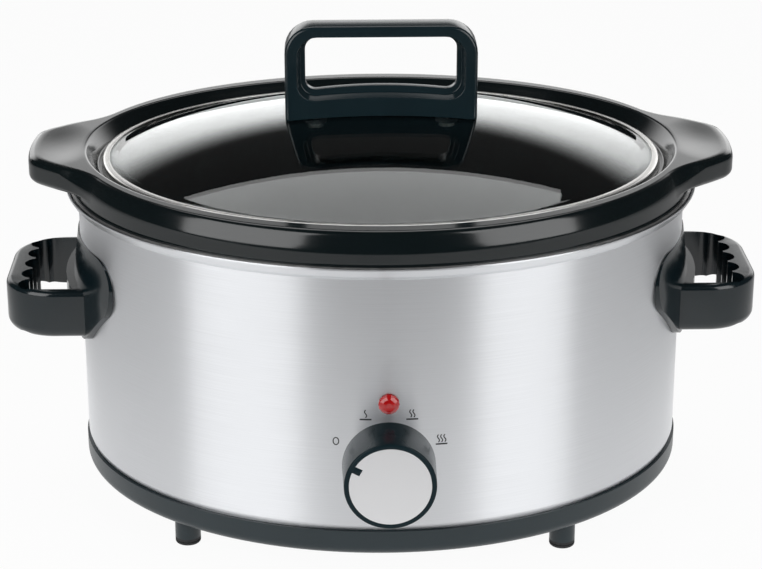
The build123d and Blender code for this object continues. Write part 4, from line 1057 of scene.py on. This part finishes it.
def make_tray():
    """Base tray, rubber feet and cord bushing: the frame's own forms, joined and smoothed."""
    for node, slot_name in (("base_tray", "black_plastic"), ("foot_pads", "foot_rubber"),
                            ("cord_bushing", "black_plastic")):
        settle(smoothed_copy(node, finish_for(slot_name)), "base", slot_name, node)


def knob_shell():
    """Turned shell of the knob: its section from the recess for the plate over the front edge, back along the
    skirt, and in to the hub and its bore."""
    size = sizes()
    front, back = node_low("knob")[1], node_high("knob")[1]
    radius, plate = node_half("knob")[0], node_half("knob_disc")[0] + size.plate_play
    recess, face = front + size.knob_recess, front + size.knob_face
    hub_end = face + size.hub_length
    corners = [(0, recess), (plate, recess), (plate, front), (size.knob_front_radius, front), (radius, back),
               (radius - size.knob_wall, back), (size.knob_front_radius - size.knob_wall, face),
               (size.hub_radius, face), (size.hub_radius, hub_end), (size.knob_bore, hub_end),
               (size.knob_bore, face), (0, face)]
    rounds = np.array([0, 0.1, 0.3, 0, 0.4, 0.4, 1.0, 0.6, 0.3, 0.1, 0.1, 0]) * MM
    rounds[3] = size.knob_round
    section = soften(corners, rounds, closed=False)
    return patch(lathe_grid(section, node_middle("knob")[[0, 2]], 128), poles=(True, True))


def knob_pointer():
    """Small pointer in the recess: a rounded outline turned to its mark, carried from the floor of the recess
    to the front and closed over a narrow bevel."""
    size = sizes()
    plate = node_half("knob_disc")[0] + size.plate_play
    inner_round, outer_round, bevel = 0.5 * MM, 0.2 * MM, 0.15 * MM
    foot = size.knob_recess + 0.2 * MM
    out = unit(np.pi / 2 + size.pointer_angle)
    across = np.array([-out[1], out[0]])
    outline = framed_box(size.pointer_width / 2, plate - size.pointer_length, plate + size.plate_play,
                         inner_round, outer_round)
    place = node_middle("knob")[[0, 2]] + outline[:, [0]] * across + outline[:, [1]] * out
    heart = np.broadcast_to(place.mean(axis=0), place.shape)
    depths = node_low("knob")[1] + np.array([foot, foot, bevel, 0.0, 0.0])
    shrink = np.array([1.0, 0.0, 0.0, 0.06, 1.0])
    rings = place[:, None] + (heart - place)[:, None] * shrink[None, :, None]
    tab = np.stack([rings[..., 0], np.broadcast_to(depths, rings.shape[:2]), rings[..., 1]], axis=-1)
    return patch(tab, poles=(True, True))


def make_knob():
    """Knob: its shell and its pointer. Metal doesn't mirror it, so the steel shows no dark patch."""
    knob = skin("knob_skin", [knob_shell(), knob_pointer()], finish_for("knob_plastic"))
    knob.visible_glossy = False
    settle(knob, "control", "black_plastic", "knob")


def make_lens():
    """Lens: a faceted dome, turned from shares of its radius and rise, on a round flange with a neck."""
    size = sizes()
    front, back = node_low("indicator_lens")[1], node_high("indicator_lens")[1]
    radius, centre = node_half("indicator_lens")[0], node_middle("indicator_lens")[[0, 2]]
    rise, neck = size.lens_rise, size.lens_neck
    seat = front + rise + size.lens_flange
    dome = np.array([(0.0, 0.0), (0.30, 0.02), (0.62, 0.20), (0.88, 0.62), (0.97, 1.0)])
    profile = np.concatenate([dome * (radius, rise) + (0, front),
                              [(radius, front + rise + size.lens_flange / 4), (radius, seat), (neck, seat),
                               (neck, back), (0, back)]])
    lens = skin("lens_skin", [patch(lathe_grid(profile, centre, 14), poles=(True, True))],
                finish_for("red_lens"), smooth=False)
    settle(lens, "base", "red_lens", "indicator_lens")


def finish_frame_nodes():
    """Gives every node that still shows the finish of its slot."""
    for part in frame["record"]["subparts"]:
        node = frame["nodes"][part["node"]]
        for holder in node.material_slots:
            holder.material = finish_for(part["material_slot"])


# Stage

def make_floor():
    """Pale floor: a wide round sheet from a pole over it to a pole under it, with its front edge a little way
    before the cooker. It keeps the cooker's shadow. The eye and glass see it nearly white, and metal and
    glaze see a pool of light around the cooker that fades with the distance from its middle."""
    reach, thickness, front = 5.0, 0.02, 0.73
    white, pool_white, pool_start, pool_end = 0.95, 0.9, 0.24, 0.58
    angle = turn_angles(96)[:, None]
    radius = reach * np.array([0, 0.12, 0.24, 0.48, 1, 1, 0])[None, :]
    level = -thickness * np.array([0, 0, 0, 0, 0, 1, 1])[None, :]
    depth = radius * np.sin(angle) + reach - front
    grid = np.stack([radius * np.cos(angle), depth, np.broadcast_to(level, depth.shape)], axis=-1)
    finish = Finish("studio_floor")
    cloud = finish.noise(0.4, detail=2.0)
    finish.tint(cloud, 0.99, 1.01, colours().floor).set(Roughness=0.9, Specular_IOR_Level=0.1)
    paths = finish.add("LightPath").outputs
    seen = finish.math('MAXIMUM', paths["Is Camera Ray"], paths["Is Transmission Ray"])
    away = finish.add("VectorMath", operation='LENGTH')
    finish.feed(away.inputs[0], finish.add("TexCoord").outputs["Object"])
    pool = finish.spread(away.outputs["Value"], pool_start, pool_end, pool_white, 0.0,
                         interpolation_type='SMOOTHSTEP')
    in_metal = finish.math('MULTIPLY', paths["Is Glossy Ray"], pool)
    share = finish.math('MAXIMUM', finish.math('MULTIPLY', seen, white), in_metal)
    glow = finish.add("Emission").outputs["Emission"]
    mix = finish.add("MixShader")
    for socket, source in zip(mix.inputs, (share, finish.shader.outputs["BSDF"], glow)):
        finish.feed(socket, source)
    finish.feed(finish.tree.nodes["Material Output"].inputs["Surface"], mix.outputs["Shader"])
    skin("studio_floor", [patch(grid, poles=(True, True))], finish.material, smooth=False)


def make_world():
    """Room around the floor: a lit backdrop behind the cooker, and a dim room in the other directions. The
    backdrop fades upwards and towards the front, and its upper edge drops with the square of the way to its
    ends. The camera sees plain white."""
    light = bpy.context.scene.cooker_light
    drop = 1.2
    front_fade, upper_fade = (0.6, 0.85), (0.40, 0.20)
    world = bpy.data.worlds.new("studio_room")
    bpy.context.scene.world = world
    world.use_nodes = True
    room = Wiring(world.node_tree)
    split = room.add("SeparateXYZ")
    room.feed(split.inputs["Vector"], room.add("TexCoord").outputs["Generated"])
    square = room.math('POWER', split.outputs["X"], 2.0)
    height = room.math('MULTIPLY_ADD', square, -drop, split.outputs["Z"])
    behind = room.spread(split.outputs["Y"], *front_fade, 0.0, 1.0, interpolation_type='SMOOTHSTEP')
    below = room.spread(height, *upper_fade, 0.0, 1.0, interpolation_type='SMOOTHSTEP')
    level = room.spread(room.math('MULTIPLY', behind, below), 0.0, 1.0, light.room, light.backdrop)
    seen = room.add("Mix")
    seen.inputs["B"].default_value = 1.0
    room.feed(seen.inputs["Factor"], room.add("LightPath").outputs["Is Camera Ray"])
    room.feed(seen.inputs["A"], level)
    background = room.tree.nodes["Background"].inputs
    background["Color"].default_value = (1.0, 1.0, 1.0, 1.0)
    room.feed(background["Strength"], seen.outputs["Result"])


def aim(thing, place, target):
    """Puts a lamp or camera at a place, facing a target: its turn about the upright, then its tilt."""
    x, y, z = np.array(target) - np.array(place)
    thing.location = place
    thing.rotation_euler = (np.pi / 2 + np.arctan2(z, np.hypot(x, y)), 0, -np.arctan2(x, y))


def make_lamp(name, place, target, width, height, brightness):
    """Softbox whose face has a set brightness: its power is pi times its area times that."""
    lamp = bpy.data.lights.new(name, 'AREA')
    lamp.shape = 'RECTANGLE'
    lamp.size, lamp.size_y = width, height
    lamp.energy = np.pi * width * height * brightness
    thing = bpy.data.objects.new(name, lamp)
    thing.visible_camera = False
    bpy.context.scene.collection.objects.link(thing)
    aim(thing, place, target)


def make_lamps():
    """Two front softboxes that stand at a turn from the front, and one overhead."""
    light = bpy.context.scene.cooker_light
    distance, level, aim_level, height = 1.6, 0.80, 0.30, 1.5
    for name, degrees, width in (("left_lamp", -46.1, 1.26), ("right_lamp", 46.6, 1.02)):
        turn = np.radians(degrees)
        place = (distance * np.sin(turn), -distance * np.cos(turn), level)
        make_lamp(name, place, (0, 0, aim_level), width, height, light.side)
    overhead, overhead_aim, overhead_size = (0, 0.69, 1.55), (0, 0.05, 0.15), (1.2, 1.0)
    make_lamp("top_lamp", overhead, overhead_aim, *overhead_size, light.top)


def make_camera():
    """Camera fitted to the photograph: it stands back from its target along its pitch and yaw."""
    focal_pixels, distance, target_level = 2309, 1.380, 0.1171
    pitch, yaw = np.radians(21.02), np.radians(1.6)
    camera = bpy.data.cameras.new("photo_camera")
    camera.sensor_width = SENSOR
    camera.lens = SENSOR * focal_pixels / PHOTO_WIDTH
    eye = bpy.data.objects.new("photo_camera", camera)
    bpy.context.scene.collection.objects.link(eye)
    target = np.array([0, body_depth(), target_level])
    back = np.array([-np.sin(yaw) * np.cos(pitch), -np.cos(yaw) * np.cos(pitch), np.sin(pitch)])
    aim(eye, target + distance * back, target)
    bpy.context.scene.camera = eye


def make_stage():
    """Floor, room, lamps and camera."""
    make_floor()
    make_world()
    make_lamps()
    make_camera()
    bpy.context.scene.view_settings.view_transform = 'Standard'


# Steps and panel

class COOKER_OT_inside(bpy.types.Operator):
    """Finish every piece that keeps its own form from the frame"""
    bl_idname = "cooker.inside"
    bl_label = "Inner pieces"

    def execute(self, context):
        finish_frame_nodes()
        return {'FINISHED'}


class COOKER_OT_wrap(bpy.types.Operator):
    """Make the brushed steel wrap"""
    bl_idname = "cooker.wrap"
    bl_label = "Steel wrap"

    def execute(self, context):
        make_wrap()
        return {'FINISHED'}


class COOKER_OT_marks(bpy.types.Operator):
    """Print the heat marks on the wrap"""
    bl_idname = "cooker.marks"
    bl_label = "Heat marks"

    def execute(self, context):
        make_marks()
        return {'FINISHED'}


class COOKER_OT_pan(bpy.types.Operator):
    """Make the heating pan"""
    bl_idname = "cooker.pan"
    bl_label = "Heating pan"

    def execute(self, context):
        make_pan()
        return {'FINISHED'}


class COOKER_OT_crock(bpy.types.Operator):
    """Make the glazed crock with its ears"""
    bl_idname = "cooker.crock"
    bl_label = "Crock"

    def execute(self, context):
        make_crock()
        return {'FINISHED'}


class COOKER_OT_lid(bpy.types.Operator):
    """Make the lid's glass, ring and handle"""
    bl_idname = "cooker.lid"
    bl_label = "Lid"

    def execute(self, context):
        make_lid_glass()
        make_lid_ring()
        make_lid_loop()
        return {'FINISHED'}


class COOKER_OT_handles(bpy.types.Operator):
    """Make the two side handles"""
    bl_idname = "cooker.handles"
    bl_label = "Side handles"

    def execute(self, context):
        make_handles()
        return {'FINISHED'}


class COOKER_OT_tray(bpy.types.Operator):
    """Make the base tray, its feet and the cord bushing"""
    bl_idname = "cooker.tray"
    bl_label = "Base tray"

    def execute(self, context):
        make_tray()
        return {'FINISHED'}


class COOKER_OT_control(bpy.types.Operator):
    """Make the knob and the lens of the lamp"""
    bl_idname = "cooker.control"
    bl_label = "Control"

    def execute(self, context):
        make_knob()
        make_lens()
        return {'FINISHED'}


class COOKER_OT_stage(bpy.types.Operator):
    """Make the floor, the light and the camera"""
    bl_idname = "cooker.stage"
    bl_label = "Stage"

    def execute(self, context):
        make_stage()
        return {'FINISHED'}


class COOKER_PT_panel(bpy.types.Panel):
    """Lists the steps that dress the cooker"""
    bl_idname = "COOKER_PT_panel"
    bl_label = "Slow cooker"
    bl_space_type = 'VIEW_3D'
    bl_region_type = 'UI'
    bl_category = "Cooker"

    def draw(self, context):
        for step in STEPS:
            self.layout.operator(step.bl_idname)


STEPS = (COOKER_OT_inside, COOKER_OT_wrap, COOKER_OT_marks, COOKER_OT_pan, COOKER_OT_crock, COOKER_OT_lid,
         COOKER_OT_handles, COOKER_OT_tray, COOKER_OT_control, COOKER_OT_stage)
GROUPS = {"cooker_sizes": CookerSizes, "cooker_colours": CookerColours, "cooker_light": StudioLight}


def register():
    """Adds the classes and the settings."""
    for item in (*GROUPS.values(), *STEPS, COOKER_PT_panel):
        bpy.utils.register_class(item)
    for name, group in GROUPS.items():
        setattr(bpy.types.Scene, name, bpy.props.PointerProperty(type=group))


def unregister():
    """Takes the classes and the settings away."""
    for name in GROUPS:
        delattr(bpy.types.Scene, name)
    for item in (COOKER_PT_panel, *reversed(STEPS), *GROUPS.values()):
        bpy.utils.unregister_class(item)


def main():
    """Dresses the frame step by step."""
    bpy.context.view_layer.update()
    register()
    for step in STEPS:
        group, name = step.bl_idname.split(".")
        getattr(getattr(bpy.ops, group), name)()


if __name__ == "__main__":
    main()
